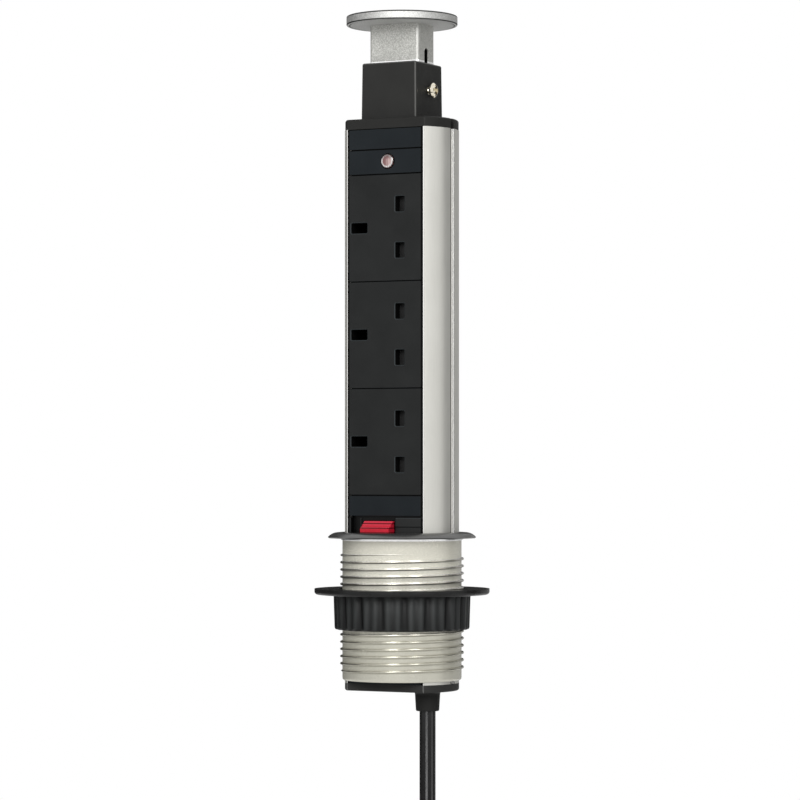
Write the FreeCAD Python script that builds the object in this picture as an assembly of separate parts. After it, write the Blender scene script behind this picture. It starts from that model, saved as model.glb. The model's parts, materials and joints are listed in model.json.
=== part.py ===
# A pop-up worktop socket tower, drawn out of its sleeve and resting on its latch.
# Millimetres. The origin is on the tower's axis, in the plane of the worktop's top
# face, which the table ring sits on. +Z is up, and the sockets face -Y.
import FreeCAD, Part
import math
import os
from FreeCAD import Vector

# Sleeve that goes through the worktop
bore_diameter = 56.0
sleeve_wall = 0.9
thread_diameter = 60.0
sleeve_depth = 68.6          # below the worktop's face
sleeve_seat = 1.2            # how far its top end goes up into the ring
collar_step = 0.6
collar_height = 1.0
sleeve_chamfer = (0.5, 1.2)  # across and up
thread_from = 2.6            # above the sleeve's lower end
thread_to = 6.4              # below the worktop's face
key_width = 2.6
key_gap = 0.25
key_ends = (4.0, 3.0)        # from the sleeve's lower end and from the worktop's face

# Ring on the worktop
ring_diameter = 72.0
ring_height = 2.8
ring_rim = 0.5
ring_flat = 2.4              # width of its flat top, next to the bore
ring_round = 0.4
flange_step = 1.7            # of the sleeve's top flange, sunk in the ring's underside
seat_gap = 0.1

# Clamp under the worktop
plate_diameter = 85.0
plate_thickness = 2.8
plate_top = -24.5
plate_bore_gap = 0.6
plate_round = 1.5
plate_hole_radius = 0.85
plate_hole_circles = (71.8, 77.2)
nut_diameter = 67.2
nut_height = 16.8
nut_taper = 0.5              # smaller in radius at its lower end
nut_gap = 0.1                # under the plate
nut_lobes = 18
flute_depth = 1.5
flute_half_angle = 3.0
nut_chamfer = 0.8
thread_gap = 0.3             # all round between the sleeve's thread and the nut

# Tower
running_gap = 0.3            # between the tower and the sleeve's bore
front_face = 17.5            # flat front, ahead of the axis
tower_wall = 1.3
tower_top = 197.5
stack_bottom = -70.0         # lower end of the profile and the front modules, on the bottom cap
groove_width = 3.2
groove_depth = 1.7
rail_lap = 0.75              # of a module's edge over the rail
rail_depth = 1.5
rail_behind_face = 2.7
port_wall = 1.5
port_place = (23.1, 35.5)    # from the axis, and degrees back from the side
port_slit = 1.2

# Front modules, from the top down
blank_height = 10.0
indicator_height = 12.0
socket_height = 51.5
socket_count = 3
latch_height = 24.0
module_width = 39.7
module_gap = 0.55            # from a module's edge to the side of the open front
body_width = 40.0
flange_thickness = 2.4
slide_gap = 0.3              # between a module and the rails
seam_chamfer = 0.8
seam_gap = (0.4, 1.2)        # height and depth of the gap at a module's top edge
seam_bevel = 0.15
thin_body = 2.0              # depth behind the rails of a module that holds nothing
indicator_body = 4.0
socket_back = 7.5            # rear of the socket modules, behind the axis
face_seat = 0.2              # rear of a socket's face, behind the fronts of the bodies
shutter_pocket = 2.3

# Socket holes and contacts
pin_column = 8.0             # line and neutral, right of the axis
pin_spacing = 22.2           # between line and neutral, and from their column to earth
pin_hole = (5.0, 7.4)
earth_hole = (8.8, 5.0)
hole_bevel = 0.4
hole_corner = 0.6
pin_cavity = (7.2, 9.2)
earth_cavity = (9.6, 7.2)
contact_grip = 3.5           # between the two leaves of a contact
leaf_thickness = 0.6
leaf_width = 5.2
leaf_reach = 16.4            # ahead of the strips
earth_leaf_reach = 12.4
strip_thickness = 0.8
strip_width = 4.0
strip_gap = 0.4              # behind the socket modules
line_strip_x = 15.4
neutral_strip_x = 0.0
strip_overrun = 6.0          # below the lowest socket module
barrel_radius = 1.6
barrel_length = 5.0
arm_drop = 1.5               # above the socket modules, where the strips turn to the lamp
shutter_thickness = 1.8
shutter_travel = 6.5
shutter_cover = 1.0          # how far it overlaps a hole all round
shutter_arm = 5.2
shutter_window = 2.2
shutter_spring = (0.85, 11.5)
ramp_cover = 6.2             # how far the ramp stands into the earth hole
ramp_depth = 6.7             # how far it reaches into the contact block

# Indicator
lens_x = 1.5
lens_diameter = 6.9
lens_hole = 7.6
lens_length = 4.2
lens_stands = 0.9
lamp_diameter = 4.0
board_size = (22.0, 9.0, 1.2)

# Latch
window = (-12.9, 5.2, 15.6, 0.9)  # left, right, and how far its ends are below the latch's seam
window_depth = 0.5
latch_gap = (1.0, 1.5)       # height and depth of the gap under the latch's seam
left_pocket = (-18.7, -13.4, 16.0, 3.0)  # left, right, how far down it goes, and depth
button_sides = (-11.0, 4.6)
button_gap = 0.3
wedge_heights = (2.6, 6.1, 13.0)  # of its top, shoulder and foot, below the latch's seam
wedge_lip = 0.3              # how far its top edge stands out of the flat front
wedge_reach = 4.8            # how far its lower part stands out
wedge_grooves = 2
wedge_groove = 0.55
wing = 2.0
wing_thickness = 4.6
wing_seat = 3.4              # from the flat front to where the wings bear
latch_travel = 4.6
latch_spring_solid = 6.3     # length that is left of the spring when the wedge is pressed in
latch_spring = (3.0, 0.7)    # radius and wire
latch_back_wall = 1.5
panel_line = (5.4, 0.5, 0.8)  # below the latch's seam, width and depth, of the line right of the window
panel_edge = (0.4, 0.25)     # width of the gap right of the window, and bevel of the panel's edges

# Top cap, box and lid
cap_thickness = 5.0
cap_inset = 0.2
cap_round = 1.1
cup_depth = 6.0              # below the cap
cup_wall = 1.2
box_top = (29.4, 27.6)
box_bottom = (30.0, 28.2)
box_height = 27.2
box_round = 1.0
neck_size = (26.7, 16.6)
neck_wall = 1.5
neck_top_wall = 3.0
neck_gap = 0.2
neck_stands = 18.8           # out of the box
neck_round = 1.2
neck_below_screw = 5.4
slot_width = 4.1
lid_travel = 18.4
lid_diameter = 53.9
lid_thickness = 4.5
lid_round = 0.6
lid_groove = (1.3, 0.45, 0.35)  # under the disc: in from its edge, width and depth
screw_drop = 13.3            # of the guide screw, below the top of the box
screw_shank = 1.9
screw_tip_in = 1.4           # into the neck's wall
screw_head = (3.6, 2.0)
screw_stands_off = 1.9
lid_spring_radius = 4.5
lid_spring_wire = 0.8
lid_spring_x = 3.0
touch_latch_size = (6.0, 8.0, 14.5)
touch_latch_x = -7.0
striker_radius = 1.2
cap_screw = (2.0, 3.4, 2.0)  # shank radius, head radius, head thickness
cap_screw_length = 12.0
small_screw = (1.25, 2.2, 1.5)
lid_screw_place = (8.5, 4.4)
lid_screw_reach = 3.0        # into the disc
box_screw_y = 12.0

# Bottom cap and cord
bottom_cap_thickness = 3.7
bottom_cap_round = 0.9
boss_radius = 6.1
boss_tip_radius = 5.65
boss_length = 9.7
boss_flare = 1.6
cord_x = 14.0
cord_diameter = 7.8
cord_fit = 0.05
clamp_post = (18.0, 5.2, 13.0)
clamp_bar = (18.0, 3.6, 6.0)
clamp_bar_drop = 3.0         # below the top of the post
clamp_screw_apart = 13.0
cord_above_clamp = 1.0
core_radius = 1.3
core_circle = 1.85
core_bend = (10.0, 40.0)     # above the cord's end, where the cores turn and where they are across

# Cord put away: a hank under the cap
hank_start = -128.0
hank_top = -178.0            # height of the centres of the upper end loops
hank_run = 118.0             # from the upper centres to the lower ones
hank_fold = 23.5             # radius of the tightest end loop
hank_step = 9.0              # from one run to the next in a layer
hank_layer = 8.3             # from one layer of runs to the next
hank_draw = 12.5             # how far the waist draws the runs in
hank_end = -339.0
tail_length = 10.0
tie_height = 12.0
tie_thickness = 1.4
tie_gap = 0.5

# Plug, with its cord going up
relief_length = 28.0
relief_radii = (5.4, 7.2)
relief_rings = 4
relief_ring = (3.0, 0.9)     # height and depth of each groove
plug_width = 50.0
plug_length = 46.0
plug_depth = 20.0
plug_corner = 11.0
plug_round = 3.0
plug_pin = (6.35, 4.0, 17.7)
plug_earth = (4.0, 8.0, 22.7)
pin_edge = 9.5               # from the line pin's middle to the plug's cord edge
carrier_size = (27.4, 8.0, 9.0)
fuse_size = (3.15, 25.4)

bore = bore_diameter / 2
sleeve_radius = bore + sleeve_wall
thread_radius = thread_diameter / 2
tower_radius = bore - running_gap
inner_radius = tower_radius - tower_wall
cord_radius = cord_diameter / 2
front = -front_face
front_opening = module_width + 2 * module_gap
rail_tip = module_width / 2 - rail_lap
rail_front = front + rail_behind_face
rail_back = rail_front + rail_depth
body_front = rail_back + slide_gap
face_back = body_front + face_seat
strip_front = socket_back + strip_gap
strip_back = strip_front + strip_thickness
strip_middle = (strip_front + strip_back) / 2
port = (port_place[0] * math.cos(math.radians(port_place[1])),
        port_place[0] * math.sin(math.radians(port_place[1])))
earth_column = pin_column - pin_spacing

# Heights of the seams between the front modules
indicator_top = tower_top - blank_height
sockets_top = indicator_top - indicator_height
sockets_bottom = sockets_top - socket_count * socket_height
latch_top = sockets_bottom - blank_height
latch_bottom = latch_top - latch_height
window_low, window_high = latch_top - window[2], latch_top - window[3]
wedge_top, wedge_shoulder, wedge_foot = [latch_top - drop for drop in wedge_heights]
panel_line_z = latch_top - panel_line[0]
cap_top = tower_top + cap_thickness
box_top_z = cap_top + box_height
lid_bottom = box_top_z + neck_stands
screw_z = box_top_z - screw_drop
neck_bottom = screw_z - neck_below_screw
cap_bottom = stack_bottom - bottom_cap_thickness
cord_top = stack_bottom + clamp_post[2] + cord_above_clamp
cup_floor = tower_top - cup_depth


def up(height):
    return Vector(0, 0, height)


def box(x0, x1, y0, y1, z0, z1):
    return Part.makeBox(x1 - x0, y1 - y0, z1 - z0, Vector(x0, y0, z0))


def rod(radius, z0, z1, x=0.0, y=0.0):
    return Part.makeCylinder(radius, z1 - z0, Vector(x, y, z0))


def rod_x(radius, x0, x1, y, z):
    return Part.makeCylinder(radius, x1 - x0, Vector(x0, y, z), Vector(1, 0, 0))


def rod_y(radius, y0, y1, x, z):
    return Part.makeCylinder(radius, y1 - y0, Vector(x, y0, z), Vector(0, 1, 0))


def disc(radius, x=0.0, y=0.0):
    return Part.Face(Part.Wire(Part.makeCircle(radius, Vector(x, y, 0))))


def polygon(points):
    return Part.Face(Part.makePolygon(points + points[:1]))


def plate(x0, x1, y0, y1):
    return polygon([Vector(x0, y0, 0), Vector(x1, y0, 0), Vector(x1, y1, 0), Vector(x0, y1, 0)])


def raised(face, z0, z1):
    """A flat face in the XY plane, made solid from one height to another."""
    return face.translated(up(z0)).extrude(up(z1 - z0))


def turned(points, x=0.0, y=0.0):
    """A solid of revolution about a vertical axis, from (radius, height) points.

    A point of four numbers is an arc: what it passes through, then where it ends."""
    edges = []
    last = points[-1][-2:]
    for point in points:
        end = point[-2:]
        if len(point) == 4:
            arc = Part.Arc(Vector(last[0], 0, last[1]), Vector(point[0], 0, point[1]),
                           Vector(end[0], 0, end[1]))
            edges.append(arc.toShape())
        else:
            edges.append(Part.makeLine(Vector(last[0], 0, last[1]), Vector(end[0], 0, end[1])))
        last = end
    solid = Part.Face(Part.Wire(edges)).revolve(Vector(0, 0, 0), Vector(0, 0, 1), 360)
    solid.translate(Vector(x, y, 0))
    return solid


def rounded(width, depth, radius, x=0.0, y=0.0):
    """A rectangle in the XY plane with its corners rounded."""
    half, side = width / 2, depth / 2
    edges = []
    corners = [(half, side, 0), (-half, side, 90), (-half, -side, 180), (half, -side, 270)]
    points = []
    for cx, cy, start in corners:
        middle = Vector(cx - math.copysign(radius, cx), cy - math.copysign(radius, cy), 0)
        arc = [middle + radius * Vector(math.cos(math.radians(start + turn)),
                                        math.sin(math.radians(start + turn)), 0)
               for turn in (0, 45, 90)]
        points.append(arc)
    for index, arc in enumerate(points):
        edges.append(Part.Arc(arc[0], arc[1], arc[2]).toShape())
        edges.append(Part.makeLine(arc[2], points[(index + 1) % 4][0]))
    face = Part.Face(Part.Wire(edges))
    face.translate(Vector(x, y, 0))
    return face


def joined(shapes):
    whole = shapes[0].fuse(shapes[1:]) if len(shapes) > 1 else shapes[0]
    return whole.removeSplitter()


def group(shapes):
    return Part.makeCompound(shapes)


def screw(kind, length, tip, direction):
    """A pan-headed screw whose shank ends at tip; direction points from the tip to the head."""
    shank, head, thickness = kind
    body = Part.makeCylinder(shank, length, tip, direction)
    top = Part.makeCylinder(head, thickness, tip + direction * length, direction)
    rim = [edge for edge in top.Edges if edge.Closed and
           (edge.BoundBox.Center - tip).dot(direction) > length + thickness * 0.9]
    return body.fuse(top.makeChamfer(thickness * 0.35, rim)).removeSplitter()


def ports():
    return [(port[0], port[1]), (-port[0], port[1])]


# Table ring and sleeve
flat_from = bore + ring_flat
ring_radius = ring_diameter / 2
flange_radius = sleeve_radius + flange_step
seat_radius = flange_radius + seat_gap
dome_middle = (flat_from + 0.62 * (ring_radius - flat_from), ring_rim + 0.72 * (ring_height - ring_rim))
table_ring = turned([
    (bore, sleeve_seat), (seat_radius, sleeve_seat), (seat_radius, 0), (ring_radius - ring_rim, 0),
    (ring_radius, ring_rim), dome_middle + (flat_from, ring_height), (bore + ring_round, ring_height),
    (bore + 0.3 * ring_round, ring_height - 0.3 * ring_round, bore, ring_height - ring_round)])

thread_low = -sleeve_depth + thread_from
thread_step = thread_radius - sleeve_radius
sleeve = turned([
    (bore, -sleeve_depth), (sleeve_radius - sleeve_chamfer[0], -sleeve_depth),
    (sleeve_radius, -sleeve_depth + sleeve_chamfer[1]), (sleeve_radius, thread_low),
    (thread_radius, thread_low + thread_step), (thread_radius, -thread_to - thread_step),
    (sleeve_radius, -thread_to), (sleeve_radius, -collar_height),
    (sleeve_radius + collar_step, -collar_height + 0.5 * collar_step),
    (sleeve_radius + collar_step, 0), (flange_radius, 0), (flange_radius, sleeve_seat),
    (bore, sleeve_seat)])
key_reach = tower_radius - groove_depth + key_gap
keys = []
for side in (-1, 1):
    stem = raised(plate(-key_width / 2, key_width / 2, key_reach, bore + sleeve_wall / 2),
                  -sleeve_depth + key_ends[0], -key_ends[1])
    stem.rotate(Vector(0, 0, 0), Vector(0, 0, 1), 90 * side)
    keys.append(stem)
threaded_sleeve = joined([sleeve] + keys)

# Clamp plate and nut
plate_radius = plate_diameter / 2
plate_bottom = plate_top - plate_thickness
arc_drop = plate_round * (1 - math.sqrt(0.5))
clamp_plate = turned([
    (thread_radius + plate_bore_gap, plate_bottom), (plate_radius - plate_round, plate_bottom),
    (plate_radius - arc_drop, plate_bottom + arc_drop, plate_radius, plate_bottom + plate_round),
    (plate_radius, plate_top), (thread_radius + plate_bore_gap, plate_top)])
plate_holes = []
for quarter in range(4):
    turn = math.radians(45 + 90 * quarter)
    for circle in plate_hole_circles:
        plate_holes.append(rod(plate_hole_radius, plate_bottom - 1, plate_top + 1,
                               circle / 2 * math.cos(turn), circle / 2 * math.sin(turn)))
clamp_plate = clamp_plate.cut(plate_holes)

nut_top = plate_bottom - nut_gap
nut_bottom = nut_top - nut_height


def nut_outline(radius, z):
    """Lobes are arcs, with a narrower arc for the flute between each two."""
    pitch = 360.0 / nut_lobes
    edge = radius - 0.55 * flute_depth

    def at(r, degrees):
        return Vector(r * math.cos(math.radians(degrees)), r * math.sin(math.radians(degrees)), z)

    edges = []
    for lobe in range(nut_lobes):
        start = lobe * pitch + flute_half_angle
        stop = (lobe + 1) * pitch - flute_half_angle
        edges.append(Part.Arc(at(edge, start), at(radius, (start + stop) / 2), at(edge, stop)).toShape())
        edges.append(Part.Arc(at(edge, stop), at(radius - flute_depth, (lobe + 1) * pitch),
                              at(edge, stop + 2 * flute_half_angle)).toShape())
    return Part.Wire(edges)


nut_radius = nut_diameter / 2
nut_body = Part.makeLoft([nut_outline(nut_radius, nut_top),
                          nut_outline(nut_radius - nut_taper, nut_bottom + nut_chamfer),
                          nut_outline(nut_radius - nut_taper - nut_chamfer, nut_bottom)], True, True)
nut_bore = thread_radius + thread_gap
clamp_nut = nut_body.cut(rod(nut_bore, nut_bottom - 1, nut_top + 1))

# Tower profile
def bar(face):
    return raised(face, stack_bottom, tower_top)


cavity = [
    bar(plate(-front_opening / 2, front_opening / 2, front - 1, rail_front)),
    bar(plate(-rail_tip, rail_tip, rail_front - 0.1, rail_back + 0.1)),
    bar(disc(inner_radius).common(plate(-inner_radius, inner_radius, rail_back, inner_radius)))]
profile = bar(disc(tower_radius).common(plate(-tower_radius, tower_radius, front, tower_radius)))
profile = profile.cut(cavity)
groove_floor = tower_radius - groove_depth
port_radius = cap_screw[0] + 0.05
added = []
removed = []
for side in (0, 180):
    bump = bar(plate(groove_floor - tower_wall, inner_radius + tower_wall / 2,
                     -groove_width / 2 - tower_wall, groove_width / 2 + tower_wall))
    key_way = bar(plate(groove_floor, tower_radius + 1, -groove_width / 2, groove_width / 2))
    bump.rotate(Vector(0, 0, 0), Vector(0, 0, 1), side)
    key_way.rotate(Vector(0, 0, 0), Vector(0, 0, 1), side)
    added.append(bump)
    removed.append(key_way)
for x, y in ports():
    slit = bar(plate(-port_radius - port_wall - 1, 0, -port_slit / 2, port_slit / 2))
    slit.rotate(Vector(0, 0, 0), Vector(0, 0, 1), math.degrees(math.atan2(y, x)))
    slit.translate(Vector(x, y, 0))
    added.append(bar(disc(port_radius + port_wall, x, y).common(disc(tower_radius - tower_wall / 2))))
    removed += [slit, bar(disc(port_radius, x, y))]
tower_extrusion = joined([profile] + added).cut(removed).removeSplitter()


# Front modules
def module(back, z0, z1, has_body=True):
    """A panel that slides down behind the rails. Its front edges have small bevels and cut
    corners, and its upper edge stands back for the seam to the module above it."""
    half = module_width / 2
    waist = rail_tip - slide_gap
    plates = [plate(-half, half, front, front + flange_thickness).common(disc(tower_radius)).Faces[0]]
    if has_body:
        plates += [plate(-waist, waist, front + flange_thickness, body_front),
                   plate(-body_width / 2, body_width / 2, body_front, back)]
    else:
        plates.append(plate(-waist, waist, front + flange_thickness, back))
    outline = joined(plates)
    cuts = []
    for side in (-1, 1):
        for z, way in ((z0, 1), (z1, -1)):
            corner = polygon([Vector(side * half, front, z),
                              Vector(side * (half - seam_chamfer), front, z),
                              Vector(side * half, front, z + way * seam_chamfer)])
            cuts.append(corner.extrude(Vector(0, flange_thickness, 0)))
    gap, depth = seam_gap
    cuts.append(box(-half, half, front, front + depth, z1 - gap, z1))
    for z, way in ((z0, 1), (z1 - gap, -1)):
        bevel = polygon([Vector(-half, front, z), Vector(-half, front + seam_bevel, z),
                         Vector(-half, front, z + way * seam_bevel)])
        cuts.append(bevel.extrude(Vector(module_width, 0, 0)))
    return raised(outline, z0, z1).cut(cuts)


upper_blank = module(body_front + thin_body, indicator_top, tower_top)
lower_blank = module(body_front + thin_body, latch_top, sockets_bottom)
lower_filler = module(body_front + thin_body, stack_bottom, latch_bottom)

indicator_z = (indicator_top + sockets_top) / 2
indicator_back = body_front + indicator_body
lens_back = front - lens_stands + lens_length
indicator_panel = module(indicator_back, sockets_top, indicator_top).cut([
    rod_y(lens_hole / 2, front - 1, lens_back, lens_x, indicator_z),
    rod_y(lamp_diameter / 2 + 0.2, front, indicator_back + 1, lens_x, indicator_z)])
lens = rod_y(lens_diameter / 2, front - lens_stands, lens_back, lens_x, indicator_z)
lens_rim = [edge for edge in lens.Edges if edge.Closed and edge.BoundBox.YMax < front]
indicator_lens = lens.makeFillet(lens_stands * 0.9, lens_rim)
indicator_lens = indicator_lens.fuse(rod_y(lens_hole / 2 - 0.02, lens_back - 1.0, lens_back,
                                           lens_x, indicator_z)).removeSplitter()
neon_lamp = rod_y(lamp_diameter / 2, lens_back, indicator_back, lens_x, indicator_z)
board_x = (line_strip_x + neutral_strip_x) / 2
indicator_board = box(board_x - board_size[0] / 2, board_x + board_size[0] / 2, indicator_back,
                      indicator_back + board_size[2], indicator_z - board_size[1] / 2,
                      indicator_z + board_size[1] / 2)


def holes(z):
    """The three holes of a socket whose middle is at z: (x, z, width, height)."""
    return [(earth_column, z, earth_hole[0], earth_hole[1]),
            (pin_column, z + pin_spacing / 2, pin_hole[0], pin_hole[1]),
            (pin_column, z - pin_spacing / 2, pin_hole[0], pin_hole[1])]


def bevelled_hole(x, z, width, height):
    """Corners rounded, and a bevel round the mouth; drawn lying flat, then stood up."""
    mouth = rounded(width + 2 * hole_bevel, height + 2 * hole_bevel, hole_corner + hole_bevel)
    shaft = rounded(width, height, hole_corner)
    bevel = Part.makeLoft([mouth.OuterWire, shaft.OuterWire.translated(up(hole_bevel))], True, True)
    hole = raised(shaft, -1, face_back - front + 1).fuse(bevel)
    hole.rotate(Vector(0, 0, 0), Vector(1, 0, 0), -90)
    hole.translate(Vector(x, front, z))
    return hole


plate_left = pin_column - pin_hole[0] / 2 - shutter_cover
plate_right = pin_column + pin_hole[0] / 2 + shutter_cover
plate_half = pin_spacing / 2 + pin_hole[1] / 2 + shutter_cover
pocket_back = face_back + shutter_pocket
shutter_front = face_back + (shutter_pocket - shutter_thickness) / 2
shutter_back = shutter_front + shutter_thickness
ramp_right = earth_column + earth_hole[0] / 2
ramp_left = ramp_right - ramp_cover
ramp_back = face_back + ramp_depth
peg_x = plate_left - 1.8
spring_left = peg_x - shutter_spring[1]

socket_faces = []
socket_backs = []
shutters = []
shutter_coils = []
leaf_gap = contact_grip / 2
for index in range(socket_count):
    top = sockets_top - index * socket_height
    middle = top - socket_height / 2
    face = module(face_back, top - socket_height, top, False)
    socket_faces.append(face.cut([bevelled_hole(*hole) for hole in holes(middle)]))

    clear = slide_gap
    pocket = box(plate_left - clear, plate_right + shutter_travel + clear, face_back - 1, pocket_back,
                 middle - plate_half - clear, middle + plate_half + clear)
    arm_way = box(ramp_left - clear, plate_left, face_back - 1, pocket_back,
                  middle - shutter_arm / 2 - clear, middle + shutter_arm / 2 + clear)
    peg = box(peg_x, peg_x + 1.2, face_back, pocket_back, middle - shutter_window / 2 + clear,
              middle + shutter_window / 2 - clear)
    block = box(-body_width / 2, body_width / 2, face_back, socket_back, top - socket_height, top)
    cavities = [pocket, arm_way]
    for (x, z, _, _), (wide, tall) in zip(holes(middle), (earth_cavity, pin_cavity, pin_cavity)):
        cavities.append(box(x - wide / 2, x + wide / 2, face_back - 1, socket_back + 1,
                            z - tall / 2, z + tall / 2))
    cavities.append(box(earth_column, ramp_right + 2.0 + shutter_travel + clear, face_back - 1,
                        ramp_back + 2 * clear, middle - earth_cavity[1] / 2, middle + earth_cavity[1] / 2))
    socket_backs.append(joined([block.cut(cavities), peg]))

    blade = box(plate_left, plate_right, shutter_front, shutter_back, middle - plate_half,
                middle + plate_half)
    arm = box(ramp_right, plate_left, shutter_front, shutter_back, middle - shutter_arm / 2,
              middle + shutter_arm / 2)
    slope = polygon([Vector(ramp_right - 0.4, shutter_front, 0), Vector(ramp_left, ramp_back - 0.6, 0),
                     Vector(ramp_left, ramp_back, 0), Vector(ramp_right + 2.0, ramp_back, 0),
                     Vector(ramp_right + 2.0, shutter_front, 0)])
    ramp_half = earth_hole[1] / 2 - 0.1
    ramp = raised(slope, middle - ramp_half, middle + ramp_half)
    slot = box(spring_left, plate_left - 0.4, shutter_front - 1, shutter_back + 1,
               middle - shutter_window / 2, middle + shutter_window / 2)
    shutters.append(joined([blade, arm, ramp]).cut(slot))
    coil_y = (shutter_front + shutter_back) / 2
    coil = rod_x(shutter_spring[0], spring_left, peg_x, coil_y, middle)
    shutter_coils.append(coil.cut(rod_x(shutter_spring[0] - 0.3, spring_left - 1, peg_x + 1, coil_y, middle)))
shutter_springs = group(shutter_coils)


# Busbars: a strip behind the sockets, with a pair of leaves for each pin
def pin_leaves(x, z, strip_x):
    leaves = []
    for side in (-1, 1):
        inside = x + side * leaf_gap
        outside = x + side * (leaf_gap + leaf_thickness)
        leaves.append(box(min(inside, outside), max(inside, outside), strip_back - leaf_reach,
                          strip_back, z - leaf_width / 2, z + leaf_width / 2))
    ends = (x - leaf_gap - leaf_thickness, x + leaf_gap + leaf_thickness, strip_x)
    bridge = box(min(ends), max(ends), strip_front, strip_back, z - leaf_width / 2, z + leaf_width / 2)
    return leaves + [bridge]


def earth_leaves(x, z):
    leaves = []
    for side in (-1, 1):
        inside = z + side * leaf_gap
        outside = z + side * (leaf_gap + leaf_thickness)
        leaves.append(box(x - leaf_width / 2, x + leaf_width / 2, strip_back - earth_leaf_reach,
                          strip_back, min(inside, outside), max(inside, outside)))
    return leaves


def strip(x, top):
    bottom = sockets_bottom - strip_overrun
    bar = box(x - strip_width / 2, x + strip_width / 2, strip_front, strip_back, bottom, top)
    return [bar, rod(barrel_radius, bottom - barrel_length, bottom, x, strip_middle)]


def lamp_arm(x):
    low = sockets_top + arm_drop
    return box(x - strip_width / 2, x + strip_width / 2, indicator_back + board_size[2], strip_back,
               low, low + strip_thickness)


middles = [sockets_top - (index + 0.5) * socket_height for index in range(socket_count)]
arm_top = sockets_top + arm_drop + strip_thickness
line_parts = strip(line_strip_x, arm_top) + [lamp_arm(line_strip_x)]
neutral_parts = strip(neutral_strip_x, arm_top) + [lamp_arm(neutral_strip_x)]
earth_parts = strip(earth_column, middles[0] + leaf_width / 2)
for middle in middles:
    line_parts += pin_leaves(pin_column, middle + pin_spacing / 2, line_strip_x)
    neutral_parts += pin_leaves(pin_column, middle - pin_spacing / 2, neutral_strip_x)
    earth_parts += earth_leaves(earth_column, middle)
line_busbar = joined(line_parts)
neutral_busbar = joined(neutral_parts)
earth_busbar = joined(earth_parts)

# Latch: a red wedge that is pressed in through the window
wing_front = front + wing_seat
wing_back = wing_front + wing_thickness
chamber_back = wing_back + latch_travel + latch_spring_solid
latch_back = chamber_back + latch_back_wall
chamber_low = wedge_foot - wing
button_left, button_right = button_sides
housing = module(latch_back, latch_bottom, latch_top)
panel_left = window[1] + panel_edge[0]
panel_high = latch_top - latch_gap[0]
bevel = panel_edge[1]
panel_bevels = [
    polygon([Vector(panel_left, front, 0), Vector(panel_left + bevel, front, 0),
             Vector(panel_left, front + bevel, 0)]).extrude(up(panel_high - window_low)).translated(up(window_low)),
    polygon([Vector(panel_left, front, panel_high), Vector(panel_left, front + bevel, panel_high),
             Vector(panel_left, front, panel_high - bevel)]).extrude(Vector(module_width, 0, 0))]
latch_housing = housing.cut([
    box(window[0], window[1], front - 1, front + window_depth, window_low, window_high),
    box(button_left - button_gap, button_right + button_gap, front, wing_front,
        wedge_foot - button_gap, wedge_top + button_gap),
    box(button_left - wing - button_gap, button_right + wing + button_gap, wing_front, chamber_back,
        wedge_foot - button_gap, wedge_top + button_gap),
    box(panel_left, module_width / 2 + 1, front - 1, front + panel_line[2],
        panel_line_z - panel_line[1] / 2, panel_line_z + panel_line[1] / 2),
    box(window[1], panel_left, front - 1, front + panel_line[2], window_low, window_high),
    box(-module_width / 2 - 1, module_width / 2 + 1, front - 1, front + latch_gap[1],
        latch_top - latch_gap[0], latch_top + 1),
    box(left_pocket[0], left_pocket[1], front - 1, front + left_pocket[3],
        latch_top - left_pocket[2], latch_top)] + panel_bevels)
slope_length = math.hypot(wedge_reach - wedge_lip, wedge_top - wedge_shoulder)
profile = [Vector(0, wing_back, wedge_foot), Vector(0, wing_back, wedge_top),
           Vector(0, front - wedge_lip, wedge_top), Vector(0, front - wedge_reach, wedge_shoulder),
           Vector(0, front - wedge_reach, wedge_foot)]
wedge = polygon(profile).extrude(Vector(button_right - button_left, 0, 0))
wedge.translate(Vector(button_left, 0, 0))
top_edge = Vector(button_left, front - wedge_lip, wedge_top)
down_slope = Vector(0, wedge_lip - wedge_reach, wedge_shoulder - wedge_top).normalize()
slope_normal = Vector(0, down_slope.z, -down_slope.y)
grooves = []
for index in range(wedge_grooves):
    middle = top_edge + down_slope * (slope_length * (index + 1) / (wedge_grooves + 1))
    corners = [middle - down_slope * wedge_groove + slope_normal * 0.1,
               middle - slope_normal * wedge_groove * 1.2,
               middle + down_slope * wedge_groove + slope_normal * 0.1]
    grooves.append(polygon(corners).extrude(Vector(button_right - button_left, 0, 0)))
wings = box(button_left - wing, button_right + wing, wing_front, wing_back, wedge_foot, wedge_top)
release_button = joined([wedge, wings]).cut(grooves)
spring_x = (button_left + button_right) / 2
spring_z = (wedge_foot + wedge_top) / 2
latch_coil = rod_y(latch_spring[0], wing_back, chamber_back, spring_x, spring_z)
latch_spring_body = latch_coil.cut(rod_y(latch_spring[0] - latch_spring[1], wing_back - 1,
                                         chamber_back + 1, spring_x, spring_z))

# Top cap with the cup that the lid's neck sinks into
cap_radius = tower_radius - cap_inset
cap_front = front + cap_inset
cap = raised(disc(cap_radius).common(plate(-cap_radius, cap_radius, cap_front, cap_radius)),
             tower_top, cap_top)
rim = [edge for edge in cap.Edges if edge.BoundBox.ZMin > tower_top + 0.1]
corners = [edge for edge in cap.Edges if edge.BoundBox.ZLength > cap_thickness * 0.9 and
           edge.BoundBox.YMax < 0]
cap = cap.makeFillet(cap_round, rim + corners)
way = (neck_size[0] + 2 * neck_gap, neck_size[1] + 2 * neck_gap)
cup = raised(rounded(way[0] + 2 * cup_wall, way[1] + 2 * cup_wall, neck_round + cup_wall),
             cup_floor - cup_wall, tower_top)
neck_way = raised(rounded(way[0], way[1], neck_round), cup_floor, cap_top + box_height + 1)
cap_cuts = [neck_way]
shank, head, head_thick = cap_screw
for x, y in ports():
    cap_cuts.append(rod(shank + 0.05, tower_top - 1, cap_top + 1, x, y))
    cap_cuts.append(rod(head + 0.1, cap_top - head_thick, cap_top + 1, x, y))
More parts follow.
